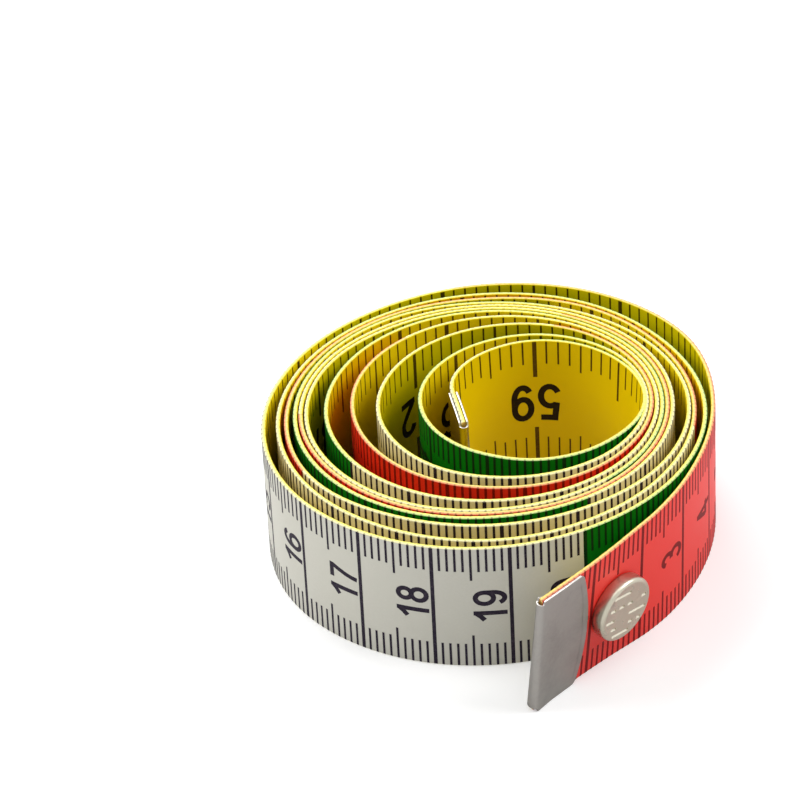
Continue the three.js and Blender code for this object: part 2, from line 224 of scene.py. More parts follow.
class Bench:
    """Adds nodes to one material's or world's tree."""

    def __init__(self, tree: bpy.types.NodeTree) -> None:
        """Empties the tree and keeps it."""
        self.tree = tree
        tree.nodes.clear()

    def node(self, kind: str, settings: dict | None = None, inputs: dict | None = None) -> bpy.types.Node:
        """Adds one node.

        Args:
            kind: the node's type.
            settings: properties by name, set first.
            inputs: values or links by socket name or number.

        Returns:
            The new node.
        """
        made = self.tree.nodes.new(kind)
        for name, setting in (settings or {}).items():
            setattr(made, name, setting)
        for key, value in (inputs or {}).items():
            link = value.socket if isinstance(value, Value) else value
            if isinstance(link, bpy.types.NodeSocket):
                self.tree.links.new(link, made.inputs[key])
            else:
                made.inputs[key].default_value = link
        return made

    def value(self, kind: str, output: str, settings: dict | None = None, inputs: dict | None = None) -> Value:
        """Adds one node and wraps the named output."""
        return Value(self, self.node(kind, settings, inputs).outputs[output])

    def noise(self, where: bpy.types.NodeSocket, scale: float, detail: float = 2.0) -> Value:
        """Noise from 0 to 1 at a scale of so many features a metre."""
        inputs = {"Vector": where, "Scale": scale, "Detail": detail}
        return self.value("ShaderNodeTexNoise", "Fac", {"noise_dimensions": "3D"}, inputs)

    def flat(self) -> tuple[bpy.types.NodeSocket, Value, Value]:
        """Reads the place on the flat artwork.

        Returns:
            The place, its distance along the tape and its height up the width.
        """
        place = self.node("ShaderNodeUVMap", {"uv_map": FLAT_MAP}).outputs[0]
        split = self.node("ShaderNodeSeparateXYZ", {}, {0: place})
        return place, Value(self, split.outputs[0]), Value(self, split.outputs[1])

    def mixed(self, factor: Value, first: Paint, second: Paint) -> bpy.types.NodeSocket:
        """Blends two colours.

        Args:
            factor: share of the second colour.
            first, second: colours, or sockets that carry them.

        Returns:
            The socket of the blend.
        """
        node = self.node("ShaderNodeMix", {"data_type": "RGBA"}, {"Factor": factor})
        for name, colour in (("A", first), ("B", second)):
            socket = next(s for s in node.inputs if s.name == name and s.type == "RGBA")
            if isinstance(colour, bpy.types.NodeSocket):
                self.tree.links.new(colour, socket)
            else:
                socket.default_value = colour
        return next(s for s in node.outputs if s.type == "RGBA")

    def bump(self, height: Value, depth: float) -> bpy.types.NodeSocket:
        """Normal of a relief whose heights from 0 to 1 are so many metres deep."""
        return self.node("ShaderNodeBump", {}, {"Height": height, "Distance": depth, "Strength": 1.0}).outputs[0]

    def surface(self, inputs: dict) -> None:
        """Ends the tree in one Principled shader with these inputs."""
        shader = self.node("ShaderNodeBsdfPrincipled", {}, inputs)
        self.node("ShaderNodeOutputMaterial", {}, {"Surface": shader.outputs[0]})


def new_bench(name: str) -> tuple[bpy.types.Material, Bench]:
    """Starts a material.

    Args:
        name: its name.

    Returns:
        The material, and the bench over its empty tree.
    """
    material = bpy.data.materials.new(name)
    material.use_nodes = True
    return material, Bench(material.node_tree)


@dataclass(frozen=True)
class CoatedCloth:
    """Woven cloth under a printed coating, with painted shade and yellow bounce light on the inner turns. The pattern
    follows the flat artwork's UV map.
    """

    colour: Colour
    worn: Colour
    # inner: painted shade and yellow bounce light of the coil's inner turns, reached between the two distances below.
    inner: Colour
    roughness: float = 0.42
    gloss: float = 0.12
    blotches: float = 55.0
    specks: float = 2600.0
    relief: float = 0.008 * MM
    pale_to: float = 210 * MM
    inner_from: float = 330 * MM

    def material(self, name: str) -> bpy.types.Material:
        """Builds the material.

        Args:
            name: its name.

        Returns:
            The material.
        """
        material, bench = new_bench(name)
        flat, along, across = bench.flat()
        turns = 2 * math.pi / THREAD_PITCH
        weave = (along * turns).sine() * (across * turns).sine() * 0.5 + 0.5
        blotch = bench.noise(flat, self.blotches)
        speck = bench.noise(flat, self.specks, 3.0)
        wear = ((blotch - 0.42) * 1.5 + (speck - 0.5) * 0.7).clamped()
        # Towards the coil's inside the colour blends into painted shade and yellow bounce light.
        deep = along.ramp(self.pale_to, self.inner_from) * (1.0 - wear * 0.25)
        bench.surface(
            {
                "Base Color": bench.mixed(deep, bench.mixed(wear, self.colour, self.worn), self.inner),
                "Roughness": (blotch - 0.5) * 0.16 + (speck - 0.5) * 0.10 + self.roughness,
                "Normal": bench.bump(weave * 0.7 + speck * 0.3, self.relief),
                "Specular IOR Level": self.gloss,
            }
        )
        return material


@dataclass(frozen=True)
class CutEdge:
    """The tape's cut edge: threads between two coatings, and a little ink that ran over from the marks.

    Each coating and each run of ink sets in between two places across the edge, from the cloth's middle.
    """

    tint: Colour
    ink: Colour
    core: Colour = field(default_factory=lambda: ink_rgb(245, 238, 112))
    thread_end: Colour = field(default_factory=lambda: ink_rgb(250, 247, 152))
    back: Colour = field(default_factory=lambda: ink_rgb(240, 218, 60))
    face_coat: Point2 = (-0.02 * MM, 0.14 * MM)
    back_coat: Point2 = (-0.12 * MM, -0.22 * MM)
    face_run: Point2 = (0.02 * MM, 0.22 * MM)
    back_run: Point2 = (-0.08 * MM, -0.28 * MM)
    specks: float = 1900.0
    roughness: float = 0.62
    relief: float = 0.03 * MM

    @staticmethod
    def ticks(along: Value, pitch: float) -> Value:
        """Pulses of 1 where marks of one pitch reach the edge."""
        return ((along * (2 * math.pi / pitch) + math.pi / 2).sine() * 3.0 - 1.6).clamped()

    def material(self, name: str) -> bpy.types.Material:
        """Builds the material.

        Args:
            name: its name.

        Returns:
            The material.
        """
        material, bench = new_bench(name)
        flat, along, across = bench.flat()
        upper = ((across - TAPE_WIDTH / 2) * (100 / MM)).clamped()
        off = across - upper * TAPE_WIDTH
        ends = (along * (2 * math.pi / THREAD_PITCH)).sine() * 0.5 + 0.5
        speck = bench.noise(flat, self.specks, 3.0)
        show = (ends * 0.55 + (speck - 0.5) * 1.4).clamped()
        colour = bench.mixed(show, self.core, self.thread_end)
        colour = bench.mixed(off.ramp(*self.face_coat) * 0.85, colour, self.tint)
        colour = bench.mixed(off.ramp(*self.back_coat) * 0.8, colour, self.back)
        metric = self.ticks(along, 1 * MM) * off.ramp(*self.face_run)
        inch = self.ticks(along, INCH / 16) * off.ramp(*self.back_run)
        bench.surface(
            {
                "Base Color": bench.mixed((metric + inch) * 0.75, colour, self.ink),
                "Roughness": self.roughness,
                "Normal": bench.bump(ends * 0.5 + speck * 0.5, self.relief),
            }
        )
        return material


@dataclass(frozen=True)
class PrintInk:
    """Printing ink that lies on the coating, a little uneven."""

    colour: Colour
    thin: Colour
    roughness: float = 0.5
    gloss: float = 0.15
    specks: float = 2100.0

    def material(self, name: str) -> bpy.types.Material:
        """Builds the material.

        Args:
            name: its name.

        Returns:
            The material.
        """
        material, bench = new_bench(name)
        speck = bench.noise(bench.flat()[0], self.specks, 3.0)
        thin = ((speck - 0.48) * 2.2).clamped()
        bench.surface(
            {
                "Base Color": bench.mixed(thin, self.colour, self.thin),
                "Roughness": (speck - 0.5) * 0.2 + self.roughness,
                "Specular IOR Level": self.gloss,
            }
        )
        return material


@dataclass(frozen=True)
class PlatedMetal:
    """Nickel or brass sheet, with the grain of its finish, handling marks, a little tarnish, and painted shade in a
    groove where one is marked.
    """

    colour: Colour
    tarnish: Colour
    roughness: float
    grain: Grain
    relief: float = 0.004 * MM
    clouds: float = 240.0
    pits: float = 2400.0
    # Colour of the painted shade in the groove.
    groove_shade: Colour = (0.12, 0.115, 0.11, 1.0)
    grooved: bool = False

    def stretch(self) -> tuple[float, float, float]:
        """How much the grain is drawn out along each axis."""
        return {Grain.TUMBLED: (1500.0, 1500.0, 1500.0), Grain.DRAWN: (900.0, 900.0, 3000.0)}[self.grain]

    def material(self, name: str) -> bpy.types.Material:
        """Builds the material.

        Args:
            name: its name.

        Returns:
            The material.
        """
        material, bench = new_bench(name)
        where = bench.node("ShaderNodeTexCoord").outputs["Object"]
        drawn = bench.node("ShaderNodeMapping", {}, {"Vector": where, "Scale": self.stretch()})
        grain = bench.noise(drawn.outputs[0], 1.0, 4.0)
        cloud = bench.noise(where, self.clouds)
        pit = bench.noise(where, self.pits)
        dull = ((cloud - 0.40) * 1.3 + (pit - 0.5) * 0.5).clamped()
        colour = bench.mixed(dull, self.colour, self.tarnish)
        # Painted shade: the groove's attribute darkens the colour there.
        if self.grooved:
            groove = bench.value("ShaderNodeAttribute", "Fac", {"attribute_name": "groove"})
            colour = bench.mixed((groove * 0.22).clamped(), colour, self.groove_shade)
        bench.surface(
            {
                "Base Color": colour,
                "Metallic": 1.0,
                "Roughness": (grain - 0.5) * 0.16 + (cloud - 0.5) * 0.12 + self.roughness,
                "Normal": bench.bump(grain * 0.7 + pit * 0.3, self.relief),
            }
        )
        return material


@dataclass
class FinishRack:
    """Every finish of the tape measure, made once and handed out."""

    ground: dict[Band, bpy.types.Material] = field(init=False)
    edge: dict[Band, bpy.types.Material] = field(init=False)
    ink: dict[Band, bpy.types.Material] = field(init=False)
    other: dict[str, bpy.types.Material] = field(init=False)

    def __post_init__(self) -> None:
        """Builds the materials."""
        # Each band's third colour is painted shade and yellow bounce light for the coil's inner turns.
        inner_yellow_bounce, dark, faded = ink_rgb(228, 218, 172), ink_rgb(66, 56, 36), ink_rgb(76, 66, 78)
        grounds = {
            Band.RED: CoatedCloth(ink_rgb(238, 52, 44), ink_rgb(244, 68, 58), ink_rgb(216, 32, 20), gloss=0.3),
            Band.WHITE: CoatedCloth(ink_rgb(212, 210, 198), ink_rgb(222, 220, 210), inner_yellow_bounce),
            Band.GREEN: CoatedCloth(ink_rgb(0, 106, 18), ink_rgb(2, 118, 26), ink_rgb(0, 112, 16), gloss=0.08),
            # The fourth band's ground is the white cloth made yellower: painted yellow bounce light.
            Band.CREAM: CoatedCloth(ink_rgb(222, 214, 180), ink_rgb(230, 222, 192), inner_yellow_bounce),
        }
        pale_edge = CutEdge(ink_rgb(244, 238, 194), dark)
        edges = {
            Band.RED: CutEdge(
                ink_rgb(240, 150, 110),
                ink_rgb(120, 40, 30),
                core=ink_rgb(240, 212, 112),
                thread_end=ink_rgb(247, 228, 152),
                back=ink_rgb(238, 206, 68),
            ),
            Band.WHITE: pale_edge,
            Band.GREEN: CutEdge(ink_rgb(196, 224, 150), ink_rgb(40, 90, 40)),
            Band.CREAM: pale_edge,
        }
        black = PrintInk(ink_rgb(36, 27, 44), faded)
        inks = {
            Band.RED: PrintInk(ink_rgb(116, 8, 8), ink_rgb(148, 24, 22)),
            Band.WHITE: black,
            Band.GREEN: PrintInk(ink_rgb(0, 40, 14), ink_rgb(3, 58, 22)),
            Band.CREAM: black,
        }
        self.ground = {band: finish.material(f"coated_cloth_{band.value}") for band, finish in grounds.items()}
        self.edge = {band: finish.material(f"cut_edge_{band.value}") for band, finish in edges.items()}
        self.ink = {band: finish.material(f"metric_ink_on_{band.value}") for band, finish in inks.items()}
        plate, grain = PlatedMetal, Grain.TUMBLED
        others = {
            "coated_cloth_yellow": CoatedCloth(ink_rgb(240, 212, 0), ink_rgb(246, 220, 12), ink_rgb(234, 204, 0)),
            "inch_line_ink": PrintInk(ink_rgb(86, 64, 4), ink_rgb(116, 92, 10)),
            "inch_number_ink": PrintInk(ink_rgb(28, 17, 2), ink_rgb(52, 38, 6)),
            # The clips' nickel is darkened to stand for the darker surroundings that the flat leaves reflect: painted
            # reflection. Their rims get a lighter copy of it: a painted highlight.
            "clip_nickel": plate(ink_rgb(164, 160, 155), ink_rgb(134, 130, 125), 0.38, grain, grooved=True),
            "inner_clip_nickel": plate(ink_rgb(188, 182, 160), ink_rgb(164, 158, 136), 0.2, grain, grooved=True),
            "clip_rim_painted_highlight": plate(ink_rgb(206, 203, 199), ink_rgb(190, 187, 183), 0.3, grain),
            "cap_nickel": plate(ink_rgb(204, 198, 180), ink_rgb(188, 181, 163), 0.3, grain, relief=0.0003 * MM),
            "stud_nickel": plate(ink_rgb(208, 204, 196), ink_rgb(184, 180, 170), 0.3, Grain.DRAWN),
            "spring_brass": plate(ink_rgb(196, 164, 96), ink_rgb(160, 126, 66), 0.28, Grain.DRAWN),
        }
        self.other = {name: finish.material(name) for name, finish in others.items()}

    def strip(self) -> list[bpy.types.Material]:
        """The tape's slots: the four bands, the yellow face and the cut edge of each band."""
        yellow = self.other["coated_cloth_yellow"]
        return [*(self.ground[band] for band in Band), yellow, *(self.edge[band] for band in Band)]

    def inch_inks(self) -> list[bpy.types.Material]:
        """The yellow face's inks: thin lines, then numbers."""
        return [self.other["inch_line_ink"], self.other["inch_number_ink"]]

    def metric_inks(self) -> list[bpy.types.Material]:
        """The numbered face's ink, which each band's colour shows through."""
        return [self.ink[band] for band in Band]


# ---------------------------------------------------------------- mesh helpers


@dataclass
class Shape:
    """Points and faces of a form that is copied many times."""

    points: np.ndarray
    faces: list[tuple[int, ...]]


def clear_selection() -> None:
    """Leaves object mode with nothing selected."""
    if bpy.context.object is not None and bpy.context.object.mode != "OBJECT":
        bpy.ops.object.mode_set(mode="OBJECT")
    bpy.ops.object.select_all(action="DESELECT")


def make_active(piece: bpy.types.Object) -> None:
    """Selects one piece alone and makes it active.

    Args:
        piece: the piece.
    """
    clear_selection()
    piece.select_set(True)
    bpy.context.view_layer.objects.active = piece


def apply_modifier(piece: bpy.types.Object, kind: str, **settings: object) -> None:
    """Adds a modifier and applies it.

    Args:
        piece: the piece to change.
        kind: the modifier's type.
        settings: its properties by name.
    """
    make_active(piece)
    modifier = piece.modifiers.new(kind.lower(), kind)
    for name, value in settings.items():
        setattr(modifier, name, value)
    bpy.ops.object.modifier_apply(modifier=modifier.name)


def points_of(piece: bpy.types.Object) -> np.ndarray:
    """Reads a piece's points.

    Args:
        piece: the piece.

    Returns:
        Its points, one row each.
    """
    found = np.zeros(len(piece.data.vertices) * 3)
    piece.data.vertices.foreach_get("co", found)
    return found.reshape(-1, 3)


def set_points(piece: bpy.types.Object, points: np.ndarray) -> None:
    """Moves the piece's points to these rows."""
    piece.data.vertices.foreach_set("co", np.ascontiguousarray(points, np.float32).ravel())
    piece.data.update()


def soften(piece: bpy.types.Object, angle: float) -> None:
    """Shades smooth except at creases sharper than an angle in degrees."""
    make_active(piece)
    bpy.ops.object.shade_smooth_by_angle(angle=math.radians(angle))


def face_outwards(piece: bpy.types.Object) -> None:
    """Turns every face of a piece outwards.

    Args:
        piece: the piece, with its doubles merged.
    """
    make_active(piece)
    bpy.ops.object.mode_set(mode="EDIT")
    bpy.ops.mesh.select_all(action="SELECT")
    bpy.ops.mesh.normals_make_consistent(inside=False)
    bpy.ops.object.mode_set(mode="OBJECT")


def report(piece: bpy.types.Object) -> None:
    """Logs a finished piece."""
    LOG.info("%s: %d faces", piece.name, len(piece.data.polygons))


def install(piece: bpy.types.Object, node: str, body: str) -> None:
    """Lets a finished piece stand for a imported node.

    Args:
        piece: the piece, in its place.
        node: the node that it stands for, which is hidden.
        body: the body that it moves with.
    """
    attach(piece, body)
    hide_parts(node)
    report(piece)


def taken_shape(piece: bpy.types.Object) -> Shape:
    """Takes a piece out of the scene.

    Args:
        piece: the piece.

    Returns:
        Its points and faces.
    """
    shape = Shape(points_of(piece), [tuple(face.vertices) for face in piece.data.polygons])
    bpy.data.objects.remove(piece)
    return shape


def piece_from(name: str, shapes: Iterable[Shape]) -> bpy.types.Object:
    """Joins shapes into one new piece at the origin.

    Args:
        name: the piece's name.
        shapes: what it is made of, in order.

    Returns:
        The piece, in the scene.
    """
    points: list[np.ndarray] = []
    faces: list[tuple[int, ...]] = []
    count = 0
    for shape in shapes:
        points.append(shape.points)
        faces.extend(tuple(index + count for index in face) for face in shape.faces)
        count += len(shape.points)
    mesh = bpy.data.meshes.new(name)
    mesh.from_pydata(np.concatenate(points), [], faces)
    piece = bpy.data.objects.new(name, mesh)
    bpy.context.scene.collection.objects.link(piece)
    return piece


def add_flat_uv(piece: bpy.types.Object, flat_points: np.ndarray) -> None:
    """Keeps flat artwork's places, in metres, as the UV map that the cloth's pattern follows.

    Args:
        piece: the piece that gets the map.
        flat_points: one row for each of its points, with the height off the middle added to the height up.
    """
    layer = piece.data.uv_layers.new(name=FLAT_MAP)
    corners = np.zeros(len(piece.data.loops), np.int64)
    piece.data.loops.foreach_get("vertex_index", corners)
    flat = flat_points[corners]
    places = np.column_stack([flat[:, 0], flat[:, 1] + flat[:, 2]])
    layer.data.foreach_set("uv", places.astype(np.float32).ravel())


def turned(name: str, outline: Sequence[Point2], sides: int = 96, edge: float = 0.05 * MM) -> bpy.types.Object:
    """Spins a closed outline round Z, as on a lathe, and breaks its sharp edges.

    Args:
        name: the piece's name.
        outline: pairs of radius and height, in order round the section.
        sides: steps of the spin.
        edge: width of the broken edges.

    Returns:
        The turned piece.
    """
    clear_selection()
    bpy.ops.mesh.primitive_circle_add(vertices=len(outline), radius=MM)
    piece = bpy.context.object
    piece.name = name
    set_points(piece, np.array([(radius, 0.0, height) for radius, height in outline]))
    bpy.ops.object.mode_set(mode="EDIT")
    bpy.ops.mesh.select_all(action="SELECT")
    bpy.ops.mesh.spin(steps=sides, angle=2 * math.pi, center=(0, 0, 0), axis=(0, 0, 1))
    bpy.ops.mesh.select_all(action="SELECT")
    bpy.ops.mesh.remove_doubles(threshold=0.002 * MM)
    bpy.ops.mesh.delete_loose()
    bpy.ops.object.mode_set(mode="OBJECT")
    face_outwards(piece)
    apply_modifier(piece, "BEVEL", width=edge, segments=3, limit_method="ANGLE", angle_limit=math.radians(35))
    soften(piece, CREASE)
    return piece


def bend(centre: Point2, reach: Point2, turns: Sequence[float]) -> list[Point2]:
    """Points on an ellipse at angles in radians."""
    return [(centre[0] + reach[0] * math.cos(turn), centre[1] + reach[1] * math.sin(turn)) for turn in turns]


# ---------------------------------------------------------------- the tape's route


@dataclass
class TapeRoute:
    """The line that the middle of the tape follows from above, and how far its top leans out.

    The spiral runs between two angles in degrees, counted on from the outer end, and goes on straight at
    each end. Its angles are sampled so many times a degree, and eased over so many samples each way.
    """

    centre: Point2
    width: float = TAPE_WIDTH
    thickness: float = 0.58 * MM
    radius: float = 29.9 * MM
    hour_angle: float = 30.0
    first_hour: float = -90.0
    outer_join: float = -56.0
    inner_join: float = 3736.5
    outer_run: float = 20.0 * MM
    inner_run: float = 7.3 * MM
    samples: int = 4
    easing: int = 44
    lean_step: float = 0.25 * MM
    lean_easing: int = 10
    length: float = field(init=False)
    angles: np.ndarray = field(init=False)
    far: np.ndarray = field(init=False)
    heading: np.ndarray = field(init=False)
    x: np.ndarray = field(init=False)
    y: np.ndarray = field(init=False)
    lean_far: np.ndarray = field(init=False)
    leans: np.ndarray = field(init=False)

    def __post_init__(self) -> None:
        """Samples the spiral, adds a straight run at each end, and samples the lean."""
        count = round((self.inner_join - self.outer_join) * self.samples)
        self.angles = np.linspace(self.outer_join, self.inner_join, count + 1)
        radii = self.eased(self.spiral(self.angles))
        turn = np.radians(self.angles)
        x = self.centre[0] + radii * np.cos(turn)
        y = self.centre[1] + radii * np.sin(turn)
        steps = np.hypot(np.diff(x), np.diff(y))
        far = self.outer_run + np.concatenate([[0.0], np.cumsum(steps)])
        heading = np.unwrap(np.arctan2(np.gradient(y), np.gradient(x)))
        self.length = far[-1] + self.inner_run
        self.far = np.concatenate([[0.0], far, [self.length]])
        self.heading = np.concatenate([heading[:1], heading, heading[-1:]])
        self.x = self.with_runs(x, np.cos(self.heading))
        self.y = self.with_runs(y, np.sin(self.heading))
        places, degrees = zip(*LEANS)
        self.lean_far = np.arange(0, places[-1] * MM, self.lean_step)
        known = np.interp(self.lean_far, np.array(places) * MM, np.radians(degrees))
        window = self.window(self.lean_easing)
        self.leans = np.convolve(np.pad(known, self.lean_easing, mode="edge"), window, mode="valid")

    def with_runs(self, places: np.ndarray, share: np.ndarray) -> np.ndarray:
        """Adds both straight runs' ends.

        Args:
            places: one coordinate of the spiral's points.
            share: how much of a step along the tape goes that way, at each point of the whole route.

        Returns:
            The coordinate at each point of the whole route.
        """
        start = places[0] - self.outer_run * share[0]
        end = places[-1] + self.inner_run * share[-1]
        return np.concatenate([[start], places, [end]])

    @staticmethod
    def window(easing: int) -> np.ndarray:
        """Weights of a mean over so many samples each way, which fade outwards."""
        weights = np.hanning(2 * easing + 3)[1:-1]
        return weights / weights.sum()

    def spiral(self, angles: np.ndarray) -> np.ndarray:
        """Follows a smooth curve through the table.

        Args:
            angles: angles in degrees.

        Returns:
            Distances from the coil's centre.
        """
        shares = np.array([share for row in TURN_SHARES for share in row])
        place = (angles - self.first_hour) / self.hour_angle
        hour = np.floor(place).astype(int)
        t = place - hour
        a, b, c, d = (shares[np.clip(hour + step, 0, len(shares) - 1)] for step in (-1, 0, 1, 2))
        change = t * (c - a) + t**2 * (2 * a - 5 * b + 4 * c - d) + t**3 * (3 * b - a - 3 * c + d)
        return self.radius * (b + change / 2)

    def eased(self, radii: np.ndarray) -> np.ndarray:
        """Evens out the bends between table places, and leaves both ends as they are.

        Args:
            radii: distances from the coil's centre, sample by sample.

        Returns:
            The evened distances.
        """
        inside = np.convolve(radii, self.window(self.easing), mode="valid")
        even = radii.copy()
        even[self.easing : len(radii) - self.easing] = inside
        order = np.arange(len(radii))
        near = np.minimum(order, order[::-1]) - self.easing
        share = np.clip(near / (4 * self.easing), 0, 1)
        return radii + (even - radii) * share

    def at_angle(self, angle: float) -> float:
        """How far along the tape the spiral passes an angle."""
        return float(np.interp(angle, self.angles, self.far[1:-1]))

    def wind(self, flat: np.ndarray) -> np.ndarray:
        """Moves flat artwork to its place on the wound tape.

        Args:
            flat: rows of distance along the tape, height up its width, and height off its middle.

        Returns:
            Rows of places in the row frame.
        """
        x, y, heading = (np.interp(flat[:, 0], self.far, kept) for kept in (self.x, self.y, self.heading))
        lean = np.interp(flat[:, 0], self.lean_far, self.leans)
        up, off = flat[:, 1] - self.width / 2, flat[:, 2]
        middle = self.width / 2 * np.cos(lean) + self.thickness / 2 * np.sin(lean)
        outwards = up * np.sin(lean) + off * np.cos(lean)
        return np.column_stack(
            [
                x + outwards * np.sin(heading),
                y - outwards * np.cos(heading),
                middle + up * np.cos(lean) - off * np.sin(lean),
            ]
        )

    def mount(self, along: float) -> Matrix:
        """Finds the place of a rigid piece on the tape's middle.

        Args:
            along: distance along the tape.

        Returns:
            A matrix whose X runs along the tape and whose Z points out of the numbered face.
        """
        middle = self.width / 2
        spots = np.array([(along, middle, 0.0), (along, middle, MM), (along, middle + MM, 0.0)])
        origin, out, up = (Vector(place) for place in self.wind(spots))
        z_axis, y_axis = (out - origin).normalized(), (up - origin).normalized()
        matrix = Matrix((y_axis.cross(z_axis), y_axis, z_axis)).transposed().to_4x4()
        matrix.translation = origin
        return matrix


@dataclass
class Section:
    """A length of the tape that rides on one body, or that lies between two along a stretch of it and is left where it
    was wound.
    """

    name: str
    start: float
    end: float
    node: str
    body: str
    rows: int = 1
    bends_from: str | None = None
    bend: Point2 = (0.0, 0.0)

    def attach(self, piece: bpy.types.Object, route: TapeRoute) -> None:
        """Makes a piece move with this length's body. A length that bends between two bodies is left unattached, with
        its place baked in.

        Args:
            piece: the cloth or a print of this section.
            route: the route that it was wound along.
        """
        if self.bends_from is None:
            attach(piece, self.body)
            return
        middle = route.width / 2
        ends = route.wind(np.array([(along, middle, 0.0) for along in self.bend]))
        ends[:, 2] = middle
        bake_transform(piece)


# ---------------------------------------------------------------- printed marks


def arc(centre: Point2, reach: Point2, start: float, end: float, steps: int) -> list[Point2]:
    """Points on part of an ellipse, between two angles in degrees."""
    return bend(centre, reach, [math.radians(start + (end - start) * step / steps) for step in range(steps + 1)])


@dataclass
class Numerals:
    """Figures of one even stroke, drawn as centre lines in a box of 1 by 1.

    The ink stands a little proud of the tape's face and is sunk a little into it, so that no gap shows.
    """

    height: float
    width: float
    stroke: float
    advance: float
    rise: float = 0.016 * MM
    sunk: float = 0.03 * MM
    spacing: float = 0.62 * MM
    join: float = 0.01 * MM
    shapes: dict[str, Shape] = field(default_factory=dict)

    def strokes(self, figure: str) -> list[Stroke]:
        """Lists the centre lines of one figure.

        Args:
            figure: a figure from "0" to "9".

        Returns:
            Its strokes in the box of 1 by 1.
        """
        tail = [(0.0, 0.31), *arc((0.50, 0.62), (0.50, 0.38), 180, 34, 12)]
        six = [arc((0.5, 0.31), (0.5, 0.31), 0, 360, 20), tail]
        bowl = arc((0.47, 0.315), (0.53, 0.315), 128, -152, 16)
        return {
            "0": [
                [*arc((0.5, 0.64), (0.5, 0.36), 0, 180, 12), *arc((0.5, 0.36), (0.5, 0.36), 180, 360, 12), (1.0, 0.64)],
            ],
            "1": [[(0.68, -0.08), (0.68, 1.08)], [(0.66, 1.0), (0.40, 0.84), (0.06, 0.70)]],
            "2": [
                [*arc((0.5, 0.71), (0.5, 0.29), 168, -30, 13), (0.52, 0.32), (0.16, 0.12), (0.04, 0.0)],
                [(-0.12, 0.0), (1.12, 0.0)],
            ],
            "3": [
                arc((0.47, 0.755), (0.43, 0.245), 160, -78, 13),
                arc((0.47, 0.27), (0.53, 0.27), 82, -160, 14),
                [(0.34, 0.53), (0.58, 0.53)],
            ],
            "4": [[(0.74, -0.08), (0.74, 1.08)], [(0.70, 1.02), (0.02, 0.28)], [(-0.10, 0.26), (1.14, 0.26)]],
            "5": [[(1.02, 1.0), (0.18, 1.0), (0.07, 0.50)], bowl],
            "6": six,
            "7": [[(-0.10, 1.0), (1.12, 1.0)], [(0.96, 0.97), (0.74, 0.68), (0.56, 0.40), (0.44, 0.14), (0.39, -0.08)]],
            "8": [arc((0.5, 0.765), (0.43, 0.235), 0, 360, 18), arc((0.5, 0.265), (0.5, 0.265), 0, 360, 20)],
            "9": [[(1 - x, 1 - y) for x, y in stroke] for stroke in six],
        }[figure]

    def placed(self, stroke: Stroke) -> np.ndarray:
        """Puts a centre line at full size, with points close enough together to follow the tape's bends.

        Args:
            stroke: the line in the box of 1 by 1.

        Returns:
            Its points as rows.
        """
        inner = np.array([self.width - self.stroke, self.height - self.stroke])
        ends = np.array(stroke) * inner + self.stroke / 2
        points = [ends[0]]
        for first, second in zip(ends, ends[1:]):
            count = max(1, math.ceil(np.linalg.norm(second - first) / self.spacing))
            points.extend(first + (second - first) * step / count for step in range(1, count + 1))
        return np.array(points)

    def drawn(self, stroke: Stroke) -> Shape:
        """Draws one stroke as a thin solid ribbon: a wall along the centre line, thickened to the stroke's width.

        Args:
            stroke: the centre line in the box of 1 by 1.

        Returns:
            The ribbon's shape.
        """
        line = self.placed(stroke)
        closed = bool(np.linalg.norm(line[0] - line[-1]) < self.join)
        line = line[:-1] if closed else line
        count = len(line)
        low = np.column_stack([line, np.full(count, -self.sunk)])
        high = np.column_stack([line, np.full(count, self.rise)])
        afters = [(place + 1) % count for place in range(count if closed else count - 1)]
        walls = [(place, after, count + after, count + place) for place, after in enumerate(afters)]
        piece = piece_from("stroke", [Shape(np.concatenate([low, high]), walls)])
        apply_modifier(piece, "SOLIDIFY", thickness=self.stroke, offset=0.0, use_even_offset=True)
        return taken_shape(piece)

    def shape(self, figure: str) -> Shape:
        """Makes one figure the first time that it is asked for, and keeps it.

        Args:
            figure: a figure from "0" to "9".

        Returns:
            Its shape, with its lower left corner at the origin.
        """
        if figure not in self.shapes:
            strokes = [self.drawn(stroke) for stroke in self.strokes(figure)]
            self.shapes[figure] = taken_shape(piece_from("figure", strokes))
        return self.shapes[figure]

    def number(self, number: int) -> Shape:
        """Sets a whole number from its figures.

        Args:
            number: the number to print.

        Returns:
            Its shape, centred across and standing on height 0.
        """
        figures = str(number)
        left = -(self.advance * (len(figures) - 1) + self.width) / 2
        parts = []
        for place, figure in enumerate(figures):
            shape = self.shape(figure)
            parts.append(Shape(shape.points + np.array([left + place * self.advance, 0.0, 0.0]), shape.faces))
        return taken_shape(piece_from("number", parts))


@dataclass(frozen=True)
class Mark:
    """One printed line across the tape, between two heights on its width."""

    along: float
    low: float
    high: float
    thickness: float


